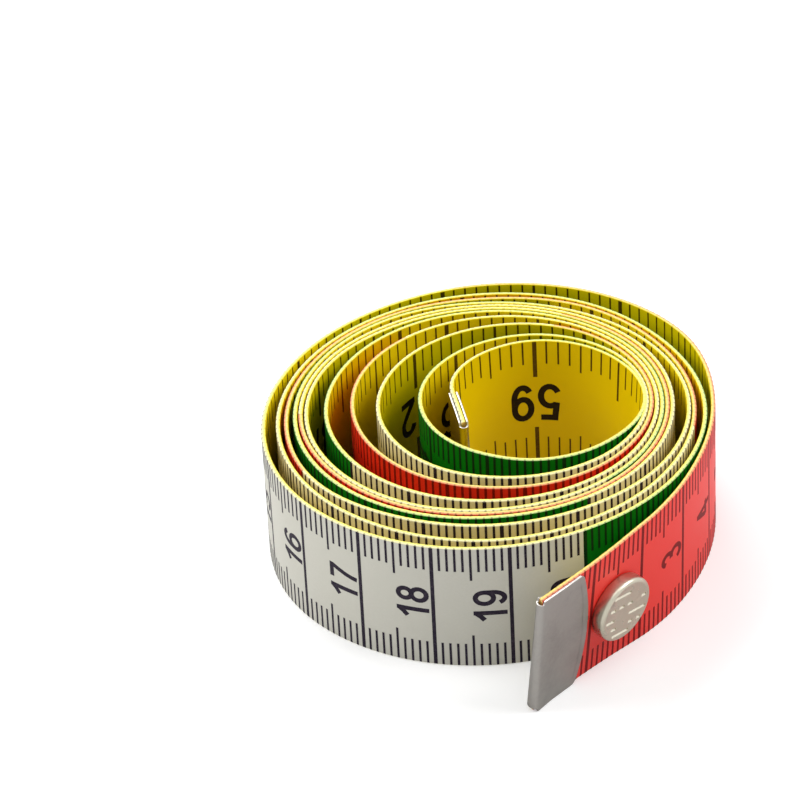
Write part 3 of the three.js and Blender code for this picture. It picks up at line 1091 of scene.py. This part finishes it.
@dataclass
class MetricScale:
    """Millimetre marks and centimetre numbers on the coloured face."""

    numerals: Numerals
    face: Face = Face.METRIC
    first: int = 8
    short: float = 3.65 * MM
    middle: float = 5.05 * MM
    line: float = 0.32 * MM
    heavy: float = 0.5 * MM
    before_line: float = 0.5 * MM
    single_stretch: float = 1.12
    number_height: float = 9.7 * MM
    hidden: tuple[int, ...] = (2,)

    def marks(self, start: float, end: float, width: float) -> list[Mark]:
        """Lists the lines of a stretch.

        Args:
            start, end: its two ends as lengths on the tape's scale.
            width: the tape's width.

        Returns:
            The lines, from the start on.
        """
        found = []
        for count in range(max(self.first, math.ceil(start / MM)), math.floor(end / MM) + 1):
            along = count * MM
            if count % 10 == 0:
                found.append(Mark(along, 0.0, width, self.heavy))
            else:
                reach = self.middle if count % 5 == 0 else self.short
                found += [Mark(along, 0.0, reach, self.line), Mark(along, width - reach, width, self.line)]
        return found

    def numbers(self, start: float, end: float) -> list[Shape]:
        """Sets the numbers of a stretch, turned to stand before their lines.

        Args:
            start, end: its two ends as lengths on the tape's scale.

        Returns:
            The numbers' shapes on the flat artwork.
        """
        placed = []
        for count in range(max(1, math.ceil(start / CM)), math.floor(end / CM) + 1):
            if count in self.hidden:
                continue
            shape = self.numerals.number(count)
            x, y, z = shape.points.T
            along = count * 10 * MM - self.before_line - y * (self.single_stretch if count < 10 else 1.0)
            placed.append(Shape(np.column_stack([along, self.number_height + x, z]), shape.faces))
        return placed


@dataclass
class InchScale:
    """Sixteenths and inch numbers on the yellow face."""

    numerals: Numerals
    face: Face = Face.INCH
    first: int = 6
    sixteenth: float = 3.6 * MM
    quarter: float = 4.4 * MM
    half: float = 6.3 * MM
    line: float = 0.24 * MM
    middle: float = 0.36 * MM
    heavy: float = 0.58 * MM
    upper_part: float = 5.7 * MM
    lower_part: float = 5.2 * MM
    number_middle: float = 9.25 * MM
    last_number: int = 59

    def marks(self, start: float, end: float, width: float) -> list[Mark]:
        """Lists the lines of a stretch.

        Args:
            start, end: its two ends as lengths on the tape's scale.
            width: the tape's width.

        Returns:
            The lines, from the start on.
        """
        step = INCH / 16
        found = []
        for count in range(max(self.first, math.ceil(start / step)), math.floor(end / step) + 1):
            along = count * step
            if count % 16 == 0:
                reach, top, thick = self.lower_part, self.upper_part, self.heavy
            elif count % 8 == 0:
                reach, top, thick = self.half, self.half, self.middle
            elif count % 4 == 0:
                reach, top, thick = self.quarter, self.quarter, self.line
            else:
                reach, top, thick = self.sixteenth, self.sixteenth, self.line
            found += [Mark(along, 0.0, reach, thick), Mark(along, width - top, width, thick)]
        return found

    def numbers(self, start: float, end: float) -> list[Shape]:
        """Sets the numbers of a stretch, which read from the yellow side with the lower edge up.

        Args:
            start, end: its two ends as lengths on the tape's scale.

        Returns:
            The numbers' shapes on the flat artwork.
        """
        placed = []
        for count in range(max(1, math.ceil(start / INCH)), min(self.last_number, math.floor(end / INCH)) + 1):
            shape = self.numerals.number(count)
            x, y, z = shape.points.T
            up = self.number_middle + self.numerals.height / 2 - y
            placed.append(Shape(np.column_stack([count * INCH + x, up, z]), shape.faces))
        return placed


@dataclass
class PrintedTape:
    """The tape itself: cloth strips with their bands of colour, and the scales printed on both faces."""

    route: TapeRoute
    finishes: FinishRack
    step: float = 0.5 * MM
    face_round: float = 0.2 * MM
    back_round: float = 0.12 * MM
    margin: float = 0.11 * MM
    tallest: float = 3.0 * MM
    band: float = 100 * MM
    tip_gap: float = 0.5 * MM
    outer_joint: float = 54.5 * MM
    inner_joint: float = 1491.5 * MM
    outer_bend: Point2 = (46 * MM, 34 * MM)
    inner_bend: Point2 = (1505 * MM, 1511 * MM)
    metric: MetricScale = field(
        default_factory=lambda: MetricScale(
            Numerals(height=4.4 * MM, width=2.5 * MM, stroke=0.66 * MM, advance=2.75 * MM)
        )
    )
    inch: InchScale = field(
        default_factory=lambda: InchScale(
            Numerals(height=5.85 * MM, width=3.25 * MM, stroke=0.88 * MM, advance=3.75 * MM)
        )
    )
    box: Shape = field(init=False)

    def __post_init__(self) -> None:
        """Makes the box of 1 by 1 by 1 that every line is stretched from."""
        clear_selection()
        bpy.ops.mesh.primitive_cube_add(size=1)
        self.box = taken_shape(bpy.context.object)

    def sections(self) -> list[Section]:
        """Divides the tape into three lengths of cloth, which meet beyond the bending stretches.

        Returns:
            The lengths, from the outer end on.
        """
        first, last = self.tip_gap, self.route.length - self.tip_gap
        outer, inner = self.outer_joint, self.inner_joint
        return [
            Section("outer_end", first, outer, "tape_outer_end", "outer_end", 8, "coil", self.outer_bend),
            Section("coil", outer, inner, "tape_coil", "coil"),
            Section("inner_end", inner, last, "tape_inner_end", "inner_end", 2, "coil", self.inner_bend),
        ]

    def printed_at(self, marks: np.ndarray) -> np.ndarray:
        """Where marks at these lengths lie on the route, as printing and tracing left them."""
        places, slips = zip(*SLIPS)
        return marks + np.interp(marks, np.array(places) * MM, np.array(slips) * MM)

    def marks_at(self, along: np.ndarray) -> np.ndarray:
        """The lengths whose marks lie at these distances along the route."""
        marks = np.linspace(0, self.route.length, 400)
        return np.interp(along, self.printed_at(marks), marks)

    def band_at(self, mark: float) -> int:
        """Number of the band of colour that a printed length lies in."""
        return int(mark // self.band) % len(Band)

    def stations(self, section: Section) -> np.ndarray:
        """Finds the distances where a strip has points, with one on each border between two colours.

        Args:
            section: the length of tape that the strip covers.

        Returns:
            Distances along the route.
        """
        along = np.linspace(section.start, section.end, round((section.end - section.start) / self.step) + 1)
        for border in self.printed_at(np.arange(self.band, self.route.length, self.band)):
            if section.start < border < section.end:
                along[np.argmin(np.abs(along - border))] = border
        return along

    def profile(self, rows: int) -> list[Point2]:
        """Draws the cross-section of the strip, with rounded corners.

        Args:
            rows: rows of faces up each side.

        Returns:
            Pairs of height and offset from the middle, in order round the section.
        """
        half, width = self.route.thickness / 2, self.route.width

        def corner(size: float, side: int) -> list[Point2]:
            """One rounded corner at the lower edge, on one side of the middle."""
            turns = (0.0, 0.52, 1.05, 1.57)
            return [(size - size * math.sin(turn), side * (half - size + size * math.cos(turn))) for turn in turns]

        low = [*corner(self.face_round, 1), *reversed(corner(self.back_round, -1))]
        up = [(width * row / rows, -half) for row in range(1, rows)]
        return [*low, *up, *((width - y, z) for y, z in reversed(low)), *((y, half) for y, _ in reversed(up))]

    def strip(self, section: Section) -> bpy.types.Object:
        """Cuts one flat strip, colours its faces by band and winds it.

        Args:
            section: the length of tape to make.

        Returns:
            The strip in its place.
        """
        along = self.stations(section)
        count = len(along) - 1
        profile = np.array(self.profile(section.rows))
        ring = len(profile)
        points = np.column_stack([np.repeat(along, ring), np.tile(profile, (count + 1, 1))])
        bands = [self.band_at(mark) for mark in self.marks_at((along[:-1] + along[1:]) / 2)]
        faces, slots = [], []
        for side in range(ring):
            after = (side + 1) % ring
            off = (profile[side, 1] + profile[after, 1]) / 2
            for station in range(count):
                low = station * ring
                faces.append((low + side, low + ring + side, low + ring + after, low + after))
                slots.append(self.slot_at(bands[station], off))
        last = count * ring
        faces += [tuple(range(ring)), tuple(last + side for side in reversed(range(ring)))]
        slots += [len(Band) + 1] * 2
        piece = piece_from(f"{section.name}_cloth", [Shape(points, faces)])
        piece.data.polygons.foreach_set("material_index", slots)
        face_outwards(piece)
        flat = points_of(piece)
        add_flat_uv(piece, np.column_stack([self.marks_at(flat[:, 0]), flat[:, 1:]]))
        set_points(piece, self.route.wind(flat))
        for material in self.finishes.strip():
            piece.data.materials.append(material)
        soften(piece, CLOTH_CREASE)
        return piece

    def slot_at(self, band: int, off: float) -> int:
        """Tells the material slot of a face of the cloth.

        Args:
            band: number of the band of colour.
            off: the face's offset from the cloth's middle.

        Returns:
            The slot of that band's coating, of the yellow face or of that band's cut edge.
        """
        half = self.route.thickness / 2
        if off > half - 0.2 * self.face_round:
            return band
        return len(Band) if off < 0.5 * self.back_round - half else len(Band) + 1 + band

    def stacked(self, mark: Mark, depth: float, middle: float) -> list[Shape]:
        """Builds one line as a stack of low boxes, so that it follows a leaning stretch of the tape.

        Args:
            mark: the line.
            depth: the ink's thickness.
            middle: height of the ink's middle off the face.

        Returns:
            The boxes, from the lower edge up.
        """
        low, high = max(mark.low, self.margin), min(mark.high, self.route.width - self.margin)
        count = math.ceil((high - low) / self.tallest)
        size = np.array([mark.thickness, (high - low) / count, depth])
        return [
            Shape(self.box.points * size + np.array([mark.along, low + (row + 0.5) * size[1], middle]), self.box.faces)
            for row in range(count)
        ]

    def scale(self, section: Section, scale: MetricScale | InchScale) -> bpy.types.Object:
        """Prints one scale on one section as thin raised ink.

        Args:
            section: the length of tape to print on.
            scale: the scale to print.

        Returns:
            The print in its place.
        """
        numerals = scale.numerals
        face = self.route.thickness / 2
        depth, middle = numerals.rise + numerals.sunk, (numerals.rise - numerals.sunk) / 2
        start, end = self.marks_at(np.array([section.start, section.end]))
        lines = [box for mark in scale.marks(start, end, self.route.width) for box in self.stacked(mark, depth, middle)]
        numbers = scale.numbers(start, end)
        parts = [*lines, *numbers]
        piece = piece_from(f"{section.name}_{scale.face.value}_print", parts)
        if scale.face is Face.METRIC:
            kinds, inks = [self.band_at(part.points[:, 0].mean()) for part in parts], self.finishes.metric_inks()
        else:
            kinds, inks = [0] * len(lines) + [1] * len(numbers), self.finishes.inch_inks()
        for ink in inks:
            piece.data.materials.append(ink)
        piece.data.polygons.foreach_set("material_index", np.repeat(kinds, [len(part.faces) for part in parts]))
        points = points_of(piece)
        points[:, 0] = self.printed_at(points[:, 0])
        if scale.face is Face.METRIC:
            points[:, 2] += face
        else:
            points[:, 2] = -face - points[:, 2]
        set_points(piece, points)
        if scale.face is Face.INCH:
            face_outwards(piece)
        flat = points_of(piece)
        add_flat_uv(piece, flat)
        set_points(piece, self.route.wind(flat))
        return piece

    def build(self) -> None:
        """Makes the strips and their prints, attaches them and hides the imported tape."""
        for section in self.sections():
            cloth = self.strip(section)
            prints = [self.scale(section, scale) for scale in (self.metric, self.inch)]
            for piece in (cloth, *prints):
                section.attach(piece, self.route)
                report(piece)
            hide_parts(section.node)
            section.end - section.start


# ---------------------------------------------------------------- metal pieces


@dataclass
class EndClip:
    """Sheet metal folded over one end of the tape, with a curved and grooved edge on both leaves."""

    name: str
    route: TapeRoute
    body: str
    finishes: FinishRack
    inner: bool = False
    sheet: float = 0.27 * MM
    half_width: float = 9.45 * MM
    back_inset: float = 0.75 * MM
    edge_length: float = 7.85 * MM
    bulge: float = 1.55 * MM
    fold: float = 0.51 * MM
    flare: float = 0.28 * MM
    flare_length: float = 3.5 * MM
    pinch: float = 0.03 * MM
    trim: float = 0.55 * MM
    groove_at: float = 0.95 * MM
    groove_half: float = 0.26 * MM
    groove_depth: float = 0.04 * MM
    groove_end: float = 0.9
    groove_fade: float = 0.12
    corner_from: float = 0.93
    corner_cut: float = 0.45 * MM
    pinch_length: float = 2.0 * MM
    trim_length: float = 0.9 * MM
    inset_from: float = 0.6 * MM
    inset_length: float = 1.5 * MM
    rim_round: float = 0.07 * MM
    # Width and slope of the rim faces that get the painted highlight.
    rim_width: float = 0.1 * MM
    rim_slope: float = 0.35
    rim_angle: float = 50.0
    columns: int = 64
    leaf_rows: int = 18
    fold_rows: int = 12
    edge_rows: tuple[float, ...] = (0.0, 0.12, 0.45, 0.70, 0.82, 0.95, 1.08, 1.20, 1.5)

    def reach(self, across: np.ndarray) -> np.ndarray:
        """Finds the curved edge, with its two corners rounded off.

        Args:
            across: places across the clip, from its middle.

        Returns:
            Distances from the fold's tip to the edge.
        """
        share = np.abs(across) / self.half_width
        corner = np.clip((share - self.corner_from) / (1 - self.corner_from), 0, 1)
        return self.edge_length + self.bulge * (1 - share**2) - self.corner_cut * corner**2

    def groove(self, far: np.ndarray, across: np.ndarray) -> np.ndarray:
        """Share of the groove's depth at places on a leaf. It fades out towards the sides."""
        fade = np.clip((self.groove_end - np.abs(across) / self.half_width) / self.groove_fade, 0, 1)
        return fade * np.clip(1 - np.abs(self.reach(across) - far - self.groove_at) / self.groove_half, 0, 1)

    def leaf_distances(self, reach: float) -> np.ndarray:
        """Spaces the rows of one leaf, closest together at the curved edge and the groove.

        Args:
            reach: distance from the tip to the edge.

        Returns:
            Distances from the tip, from the edge inwards.
        """
        near = np.array(self.edge_rows) * MM
        fold_end = self.sheet / 2 + self.fold
        rest = np.linspace(reach - near[-1], fold_end, self.leaf_rows - len(near) + 2)[1:]
        return np.concatenate([reach - near, rest])

    def column(self, across: float) -> np.ndarray:
        """Traces the middle of the sheet from the front leaf round to the back leaf.

        Args:
            across: place across the clip, from its middle.

        Returns:
            Rows of distance from the tip, place across, and offset from the tape's middle.
        """
        far = self.leaf_distances(float(self.reach(np.array([across]))[0]))
        places = np.full(len(far), across)
        press = self.pinch * np.clip(1 - (far[0] - far) / self.pinch_length, 0, 1)
        trim = self.trim * np.clip(1 - far / self.trim_length, 0, 1) ** 2 / self.half_width
        flare = self.flare * np.clip(0.5 - across / self.half_width / 2, 0, 1)
        gape = flare * np.clip(1 - far / self.flare_length, 0, 1)
        off = self.fold + gape - press - self.groove_depth * self.groove(far, places)
        leaf = np.column_stack([far, places * (1 - trim), off])
        turns = np.linspace(0, math.pi, self.fold_rows + 1)[1:-1]
        side = np.full(len(turns), across * (1 - self.trim / self.half_width))
        fold = np.column_stack([self.sheet / 2 + self.fold * (1 - np.sin(turns)), side, off[-1] * np.cos(turns)])
        inset = 1 - self.back_inset / self.half_width * np.clip((far - self.inset_from) / self.inset_length, 0, 1)
        back = leaf * np.column_stack([np.ones(len(far)), inset, -np.ones(len(far))])
        return np.concatenate([leaf, fold, back[::-1]])

    def placed(self, points: np.ndarray) -> np.ndarray:
        """Winds points from the clip's own flat frame onto the tape's end.

        Args:
            points: rows of distance from the fold's tip, place across, and offset from the tape's middle.

        Returns:
            Rows of places in the row frame.
        """
        far, across, off = points.T
        if self.inner:
            far, across = self.route.length - far, -across
        return self.route.wind(np.column_stack([far, across + self.route.width / 2, off]))

    def build(self) -> None:
        """Shapes a grid into the folded sheet, gives it its thickness and winds it onto the tape."""
        clear_selection()
        rows = 2 * (self.leaf_rows + 1) + self.fold_rows - 1
        bpy.ops.mesh.primitive_grid_add(x_subdivisions=rows - 1, y_subdivisions=self.columns, size=MM)
        piece = bpy.context.object
        piece.name = f"{self.name}_sheet"
        grid = points_of(piece)
        places = np.linspace(-self.half_width, self.half_width, self.columns + 1)
        spots = np.array([self.column(across) for across in places])
        row = np.rint((grid[:, 0] / MM + 0.5) * (rows - 1)).astype(int)
        column = np.rint((grid[:, 1] / MM + 0.5) * self.columns).astype(int)
        set_points(piece, spots[column, row])
        apply_modifier(piece, "SOLIDIFY", thickness=self.sheet, offset=0.0, use_even_offset=True)
        sharp = math.radians(self.rim_angle)
        apply_modifier(piece, "BEVEL", width=self.rim_round, segments=3, limit_method="ANGLE", angle_limit=sharp)
        face_outwards(piece)
        flat = points_of(piece)
        # The groove's share is stored for the finish's painted shade in the groove.
        groove = piece.data.attributes.new("groove", "FLOAT", "POINT")
        groove.data.foreach_set("value", self.groove(flat[:, 0], flat[:, 1]).astype(np.float32))
        # Faces on the rims along the tape's edges take the lighter nickel copy: a painted highlight.
        side = self.half_width - self.back_inset - self.trim - self.rim_width
        for name in ("inner_clip_nickel" if self.inner else "clip_nickel", "clip_rim_painted_highlight"):
            piece.data.materials.append(self.finishes.other[name])
        for face in piece.data.polygons:
            face.material_index = int(abs(face.normal.y) > self.rim_slope and abs(face.center.y) > side)
        set_points(piece, self.placed(flat))
        soften(piece, CREASE)
        install(piece, self.name, self.body)


@dataclass
class PressStud:
    """The fastener's two halves: cap, post, socket and spring on the free end, stud and eyelet on the coil.

    Outlines are pairs of radius and height off the middle of the cloth, whose faces lie at the height "tape".
    """

    cap_mount: Matrix
    stud_mount: Matrix
    finishes: FinishRack
    tape: float = 0.29 * MM
    seat: float = 0.03 * MM
    stand: float = 0.12 * MM
    lip: float = 0.32 * MM
    sheet: float = 0.3 * MM
    cap_radius: float = 4.6 * MM
    cap_top: float = 2.3 * MM
    cap_low: float = 0.3 * MM
    cap_rim: float = 0.55 * MM
    cap_shoulder: float = 0.5 * MM
    cap_curl: float = 0.32 * MM
    cap_hem: float = 0.9 * MM
    face_drop: float = 0.05 * MM
    weave_turn: float = -9.0
    slit_width: float = 0.42 * MM
    slit_depth: float = 0.2 * MM
    socket_radius: float = 4.2 * MM
    socket_depth: float = 2.2 * MM
    post_radius: float = 1.3 * MM
    post_bore: float = 0.95 * MM
    wire: float = 0.24 * MM
    ring_start: float = 20.0
    ring_sweep: float = 320.0
    stud_radius: float = 3.8 * MM
    neck: float = 1.3 * MM
    head: float = 1.65 * MM
    stud_height: float = 2.0 * MM

    def finished(self, piece: bpy.types.Object, mount: Matrix, node: str, body: str, finish: str) -> None:
        """Carries a piece to its place, dresses it and installs it.

        Args:
            piece: the piece as turned round Z.
            mount: its place on the tape.
            node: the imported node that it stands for.
            body: the body that it moves with.
            finish: name of its material.
        """
        piece.data.transform(mount)
        piece.data.materials.clear()
        piece.data.materials.append(self.finishes.other[finish])
        install(piece, node, body)

    def cap_outline(self) -> list[Point2]:
        """Draws the cap: a rolled skirt, a rounded rim and a slightly sunk face.

        Returns:
            Its outline.
        """
        low, top, out = self.tape + self.seat, self.cap_top, self.cap_radius
        curl, far, hem = self.cap_curl, self.cap_shoulder, out - self.cap_hem
        skirt = bend((out - curl, low + curl), (curl, curl), (-1.57, -1.0, -0.5, 0.0))
        shoulder = bend((out - far, top - far), (far, far), (0.0, 0.32, 0.64, 0.96, 1.28, 1.57))
        rim = [(out - self.cap_rim, top), (out - self.cap_rim - 0.1 * MM, top - self.face_drop)]
        under, wall = top - self.face_drop - self.sheet, out - self.sheet
        inside = [(0.0, top - self.face_drop), (0.0, under), (wall - curl, under)]
        back = [(wall, under - curl), (wall, low + self.sheet), (hem, low + self.sheet)]
        return [(hem, low), *skirt, *shoulder, *rim, *inside, *back]

    def slit(self, x: float, y: float, length: float) -> Shape:
        """Makes the cutter of one slit, four-sided with an edge down.

        Args:
            x, y: the slit's middle on the cap's face, in millimetres.
            length: its length in millimetres.

        Returns:
            The cutter's shape.
        """
        clear_selection()
        bpy.ops.mesh.primitive_cylinder_add(vertices=4, radius=1, depth=1)
        shape = taken_shape(bpy.context.object)
        size = np.array([length * MM, self.slit_width / 2, self.slit_depth])
        points = shape.points[:, [2, 0, 1]] * size + np.array([x * MM, y * MM, self.cap_top - self.face_drop])
        return Shape(points, shape.faces)

    def cap(self) -> bpy.types.Object:
        """Turns the cap and cuts slits into its face for a woven look.

        Returns:
            The cap.
        """
        shell = turned("snap_cap_shell", self.cap_outline(), sides=128)
        slits = piece_from("slits", [self.slit(*place) for place in CAP_SLITS])
        slits.data.transform(Matrix.Rotation(math.radians(self.weave_turn), 4, "Z"))
        apply_modifier(shell, "BOOLEAN", object=slits, operation="DIFFERENCE", solver="EXACT")
        bpy.data.objects.remove(slits)
        soften(shell, CREASE)
        return shell

    def post(self) -> bpy.types.Object:
        """Turns the rivet post behind the cap, flared over the socket's flange.

        Returns:
            The post.
        """
        base, bore, out = self.tape + 0.5 * MM, self.post_bore, self.post_radius
        end = -self.tape - 0.9 * MM
        flare = out + 0.6 * MM
        head, face = 4.0 * MM, base + self.sheet
        outline = [(0.0, base), (bore, base), (bore, end), (bore + 0.2 * MM, end - 0.24 * MM), (flare, end - 0.16 * MM)]
        outline += [(flare, end), (out + 0.1 * MM, end + 0.14 * MM), (out, base)]
        outline += [(head, base), (head, face), (0.0, face)]
        return turned("snap_cap_post_rivet", outline)

    def socket_end(self) -> float:
        """Height of the socket's open end."""
        return -self.tape - self.stand - self.socket_depth

    def socket(self) -> bpy.types.Object:
        """Turns the socket on the yellow face, with a rolled flange and a hub that holds the spring.

        Returns:
            The socket.
        """
        base, end = -self.tape - self.seat, self.socket_end()
        flange, lip, hole = base - self.lip, end + self.lip, 1.45 * MM
        inner, out, mouth = 2.10 * MM, self.socket_radius, 1.78 * MM
        hub = inner + 0.34 * MM
        outline = [(hole, base), (hole, flange), (inner, flange), (inner, lip)]
        outline += [(mouth, lip), (mouth, end + 0.05 * MM), (mouth + 0.12 * MM, end), (hub - 0.2 * MM, end)]
        outline += [(hub, end + 0.2 * MM), (hub, flange - 0.1 * MM), (hub + 0.12 * MM, flange)]
        reach = (0.28 * MM, 0.36 * MM)
        roll = bend((out - reach[0], base - reach[1]), reach, (-2.4, -1.57, -0.8, 0.0, 0.8, 1.57))
        return turned("snap_socket_shell", [*outline, (out - 0.62 * MM, flange), *roll])

    def ring_spring(self) -> bpy.types.Object:
        """Spins the open wire ring behind the socket's mouth.

        Returns:
            The spring.
        """
        radius = (self.neck + self.head) / 2 + self.wire
        clear_selection()
        bpy.ops.mesh.primitive_circle_add(vertices=12, radius=self.wire, fill_type="NGON")
        piece = bpy.context.object
        piece.name = "snap_socket_ring"
        x, y, z = points_of(piece).T
        set_points(piece, np.column_stack([x + radius, z, y]))
        piece.data.transform(Matrix.Rotation(math.radians(self.ring_start), 4, "Z"))
        bpy.ops.object.mode_set(mode="EDIT")
        bpy.ops.mesh.select_all(action="SELECT")
        bpy.ops.mesh.spin(steps=64, angle=math.radians(self.ring_sweep), center=(0, 0, 0), axis=(0, 0, 1))
        bpy.ops.object.mode_set(mode="OBJECT")
        face_outwards(piece)
        piece.data.transform(Matrix.Translation((0, 0, self.socket_end() + self.lip + 0.12 * MM + self.wire)))
        soften(piece, WIRE_CREASE)
        return piece

    def stud(self) -> bpy.types.Object:
        """Turns the stud that the socket snaps on.

        Returns:
            The stud.
        """
        base, hollow, ball = self.tape + self.seat, 0.92 * MM, 0.45 * MM
        flange, top = base + 0.34 * MM, self.tape + self.stand + self.stud_height
        neck, out, under = self.neck, self.stud_radius, top - self.lip
        turns = (0.0, 0.5, 1.0, 1.57, 2.1, 2.6)
        knob = [(neck + (self.head - neck) * math.sin(turn), top - ball - ball * math.cos(turn)) for turn in turns]
        outline = [(hollow, base), (out - 0.1 * MM, base), (out, base + 0.1 * MM), (out, flange)]
        outline += [(out - 0.5 * MM, flange + 0.06 * MM), (neck + 0.5 * MM, flange)]
        outline += [(neck + 0.1 * MM, flange + 0.2 * MM), *knob]
        outline += [(neck - 0.1 * MM, top), (0.0, top), (0.0, under), (hollow, under)]
        return turned("snap_stud_knob", outline)

    def eyelet(self) -> bpy.types.Object:
        """Turns the eyelet that rivets the stud through the tape.

        Returns:
            The eyelet.
        """
        base, shank, bore = -self.tape - 0.16 * MM, 0.8 * MM, 0.45 * MM
        end, out, low = self.tape + 1.6 * MM, 3.0 * MM, base - 0.22 * MM
        outline = [(bore, low), (2.8 * MM, low), (out, base - 0.08 * MM), (out, base)]
        return turned("snap_stud_rivet", [*outline, (shank, base), (shank, end), (bore, end)])

    def build(self) -> None:
        """Makes both halves of the fastener."""
        cap_place = self.cap_mount @ Matrix.Translation((0.0, -self.cap_low, 0.0))
        self.finished(self.cap(), cap_place, "snap_cap", "outer_end", "cap_nickel")
        self.finished(self.post(), self.cap_mount, "snap_cap_post", "outer_end", "stud_nickel")
        self.finished(self.socket(), self.cap_mount, "snap_socket", "outer_end", "stud_nickel")
        self.finished(self.ring_spring(), self.cap_mount, "snap_socket_spring", "outer_end", "spring_brass")
        self.finished(self.stud(), self.stud_mount, "snap_stud", "coil", "stud_nickel")
        self.finished(self.eyelet(), self.stud_mount, "snap_stud_eyelet", "coil", "stud_nickel")


# ---------------------------------------------------------------- studio


@dataclass
class Lamp:
    """One soft rectangular lamp that faces the tape."""

    name: str
    place: tuple[float, float, float]
    size: float
    power: float

    def build(self, target: Vector) -> None:
        """Adds the lamp.

        Args:
            target: the point that it faces.
        """
        data = bpy.data.lights.new(self.name, "AREA")
        data.shape, data.size, data.energy = "SQUARE", self.size, self.power
        lamp = bpy.data.objects.new(self.name, data)
        bpy.context.scene.collection.objects.link(lamp)
        lamp.location = self.place
        lamp.rotation_euler = (target - Vector(self.place)).to_track_quat("-Z", "Y").to_euler()


@dataclass
class Studio:
    """Camera, lamps, white surroundings and a plain pale floor."""

    target: tuple[float, float, float]
    distance: float = 619.8 * MM
    elevation: float = 35.98
    roll: float = 3.10
    focal_pixels: float = 4451.0
    picture_pixels: float = 800.0
    sensor: float = 36.0
    sky: float = 0.36
    floor_size: float = 6.0
    floor_drop: float = 0.02 * MM
    floor_lift: float = 0.34
    paper_tooth: float = 900.0
    paper_shades: tuple[float, float] = (0.76, 0.78)
    lamp_target: tuple[float, float, float] = (0.0, 0.0, 0.01)
    lamps: tuple[Lamp, ...] = (
        Lamp("right_window", (1.0, 0.0, 0.95), 0.8, 10.0),
        Lamp("left_window", (-1.0, 0.1, 0.9), 0.8, 8.6),
        Lamp("overhead", (0.0, -0.3, 1.25), 0.8, 1.9),
        Lamp("back_window", (-0.4, 1.0, 1.0), 0.8, 9.5),
    )

    def camera(self) -> None:
        """Puts the camera where the photograph was taken from."""
        data = bpy.data.cameras.new("camera")
        data.sensor_width = self.sensor
        data.lens = self.focal_pixels / self.picture_pixels * self.sensor
        data.clip_start, data.clip_end = 0.01, 100.0
        camera = bpy.data.objects.new("camera", data)
        bpy.context.scene.collection.objects.link(camera)
        lift, roll = math.radians(self.elevation), math.radians(self.roll)
        back = Vector((0.0, -math.cos(lift), math.sin(lift)))
        level, up = Vector((1.0, 0.0, 0.0)), Vector((0.0, math.sin(lift), math.cos(lift)))
        right = level * math.cos(roll) - up * math.sin(roll)
        above = level * math.sin(roll) + up * math.cos(roll)
        place = Matrix((right, above, back)).transposed().to_4x4()
        place.translation = Vector(self.target) + back * self.distance
        camera.matrix_world = place
        bpy.context.scene.camera = camera

    def surroundings(self) -> None:
        """White where the camera, a reflection or glass looks past the tape, and a plain level of light elsewhere."""
        world = bpy.data.worlds.new("surroundings")
        bpy.context.scene.world = world
        world.use_nodes = True
        bench = Bench(world.node_tree)
        path = bench.node("ShaderNodeLightPath")
        seen = Value(bench, path.outputs["Is Camera Ray"]) + Value(bench, path.outputs["Is Glossy Ray"])
        seen = (seen + Value(bench, path.outputs["Is Transmission Ray"])).clamped()
        inputs = {"Color": (1.0, 1.0, 1.0, 1.0), "Strength": seen * (1 - self.sky) + self.sky}
        sky = bench.node("ShaderNodeBackground", {}, inputs)
        bench.node("ShaderNodeOutputWorld", {}, {"Surface": sky.outputs[0]})

    def floor(self) -> None:
        """A broad white sheet of paper, just under the tape."""
        clear_selection()
        bpy.ops.mesh.primitive_plane_add(size=self.floor_size, location=(0.0, 0.0, -self.floor_drop))
        floor = bpy.context.object
        floor.name = "floor"
        material, bench = new_bench("white_paper")
        where = bench.node("ShaderNodeTexCoord").outputs["Object"]
        tooth = bench.noise(where, self.paper_tooth)
        dark, light = ((shade, shade, shade, 1.0) for shade in self.paper_shades)
        colour = bench.mixed((tooth - 0.5) * 0.2 + 0.5, dark, light)
        seen = Value(bench, bench.node("ShaderNodeLightPath").outputs["Is Camera Ray"])
        lift = {"Emission Color": seen * self.floor_lift, "Emission Strength": 1.0}
        bench.surface({"Base Color": colour, "Roughness": 0.9, "Specular IOR Level": 0.1, **lift})
        floor.data.materials.append(material)

    def build(self) -> None:
        """Sets up the whole studio."""
        self.camera()
        self.surroundings()
        self.floor()
        for lamp in self.lamps:
            lamp.build(Vector(self.lamp_target))
        bpy.context.scene.view_settings.view_transform = "Standard"


# ---------------------------------------------------------------- assembly


def coil_centre() -> Point2:
    """Finds the coil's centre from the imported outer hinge, whose angle and distance from it are known.

    Returns:
        The centre from above.
    """
    hinge = next(joint for joint in frame["joints"] if joint["name"] == HINGE_NAME)
    x, y = hinge["pos_m"][:2]
    angle = math.radians(HINGE_ANGLE)
    return (x - HINGE_RADIUS * math.cos(angle), y - HINGE_RADIUS * math.sin(angle))


def main() -> None:
    """Builds the tape measure and its studio."""
    logging.basicConfig(level=logging.INFO, format="%(name)s %(message)s")
    route = TapeRoute(coil_centre())
    LOG.info("tape length %.1f mm", route.length / MM)
    x, y = route.centre
    Studio((x + SIGHT[0], y + SIGHT[1], SIGHT[2])).build()
    finishes = FinishRack()
    PrintedTape(route, finishes).build()
    EndClip("outer_end_clip", route, "outer_end", finishes).build()
    EndClip("inner_end_clip", route, "inner_end", finishes, inner=True, flare=0.0, back_inset=0.0).build()
    PressStud(route.mount(CAP_ALONG), route.mount(route.at_angle(STUD_ANGLE)), finishes).build()


if __name__ == "__main__":
    main()
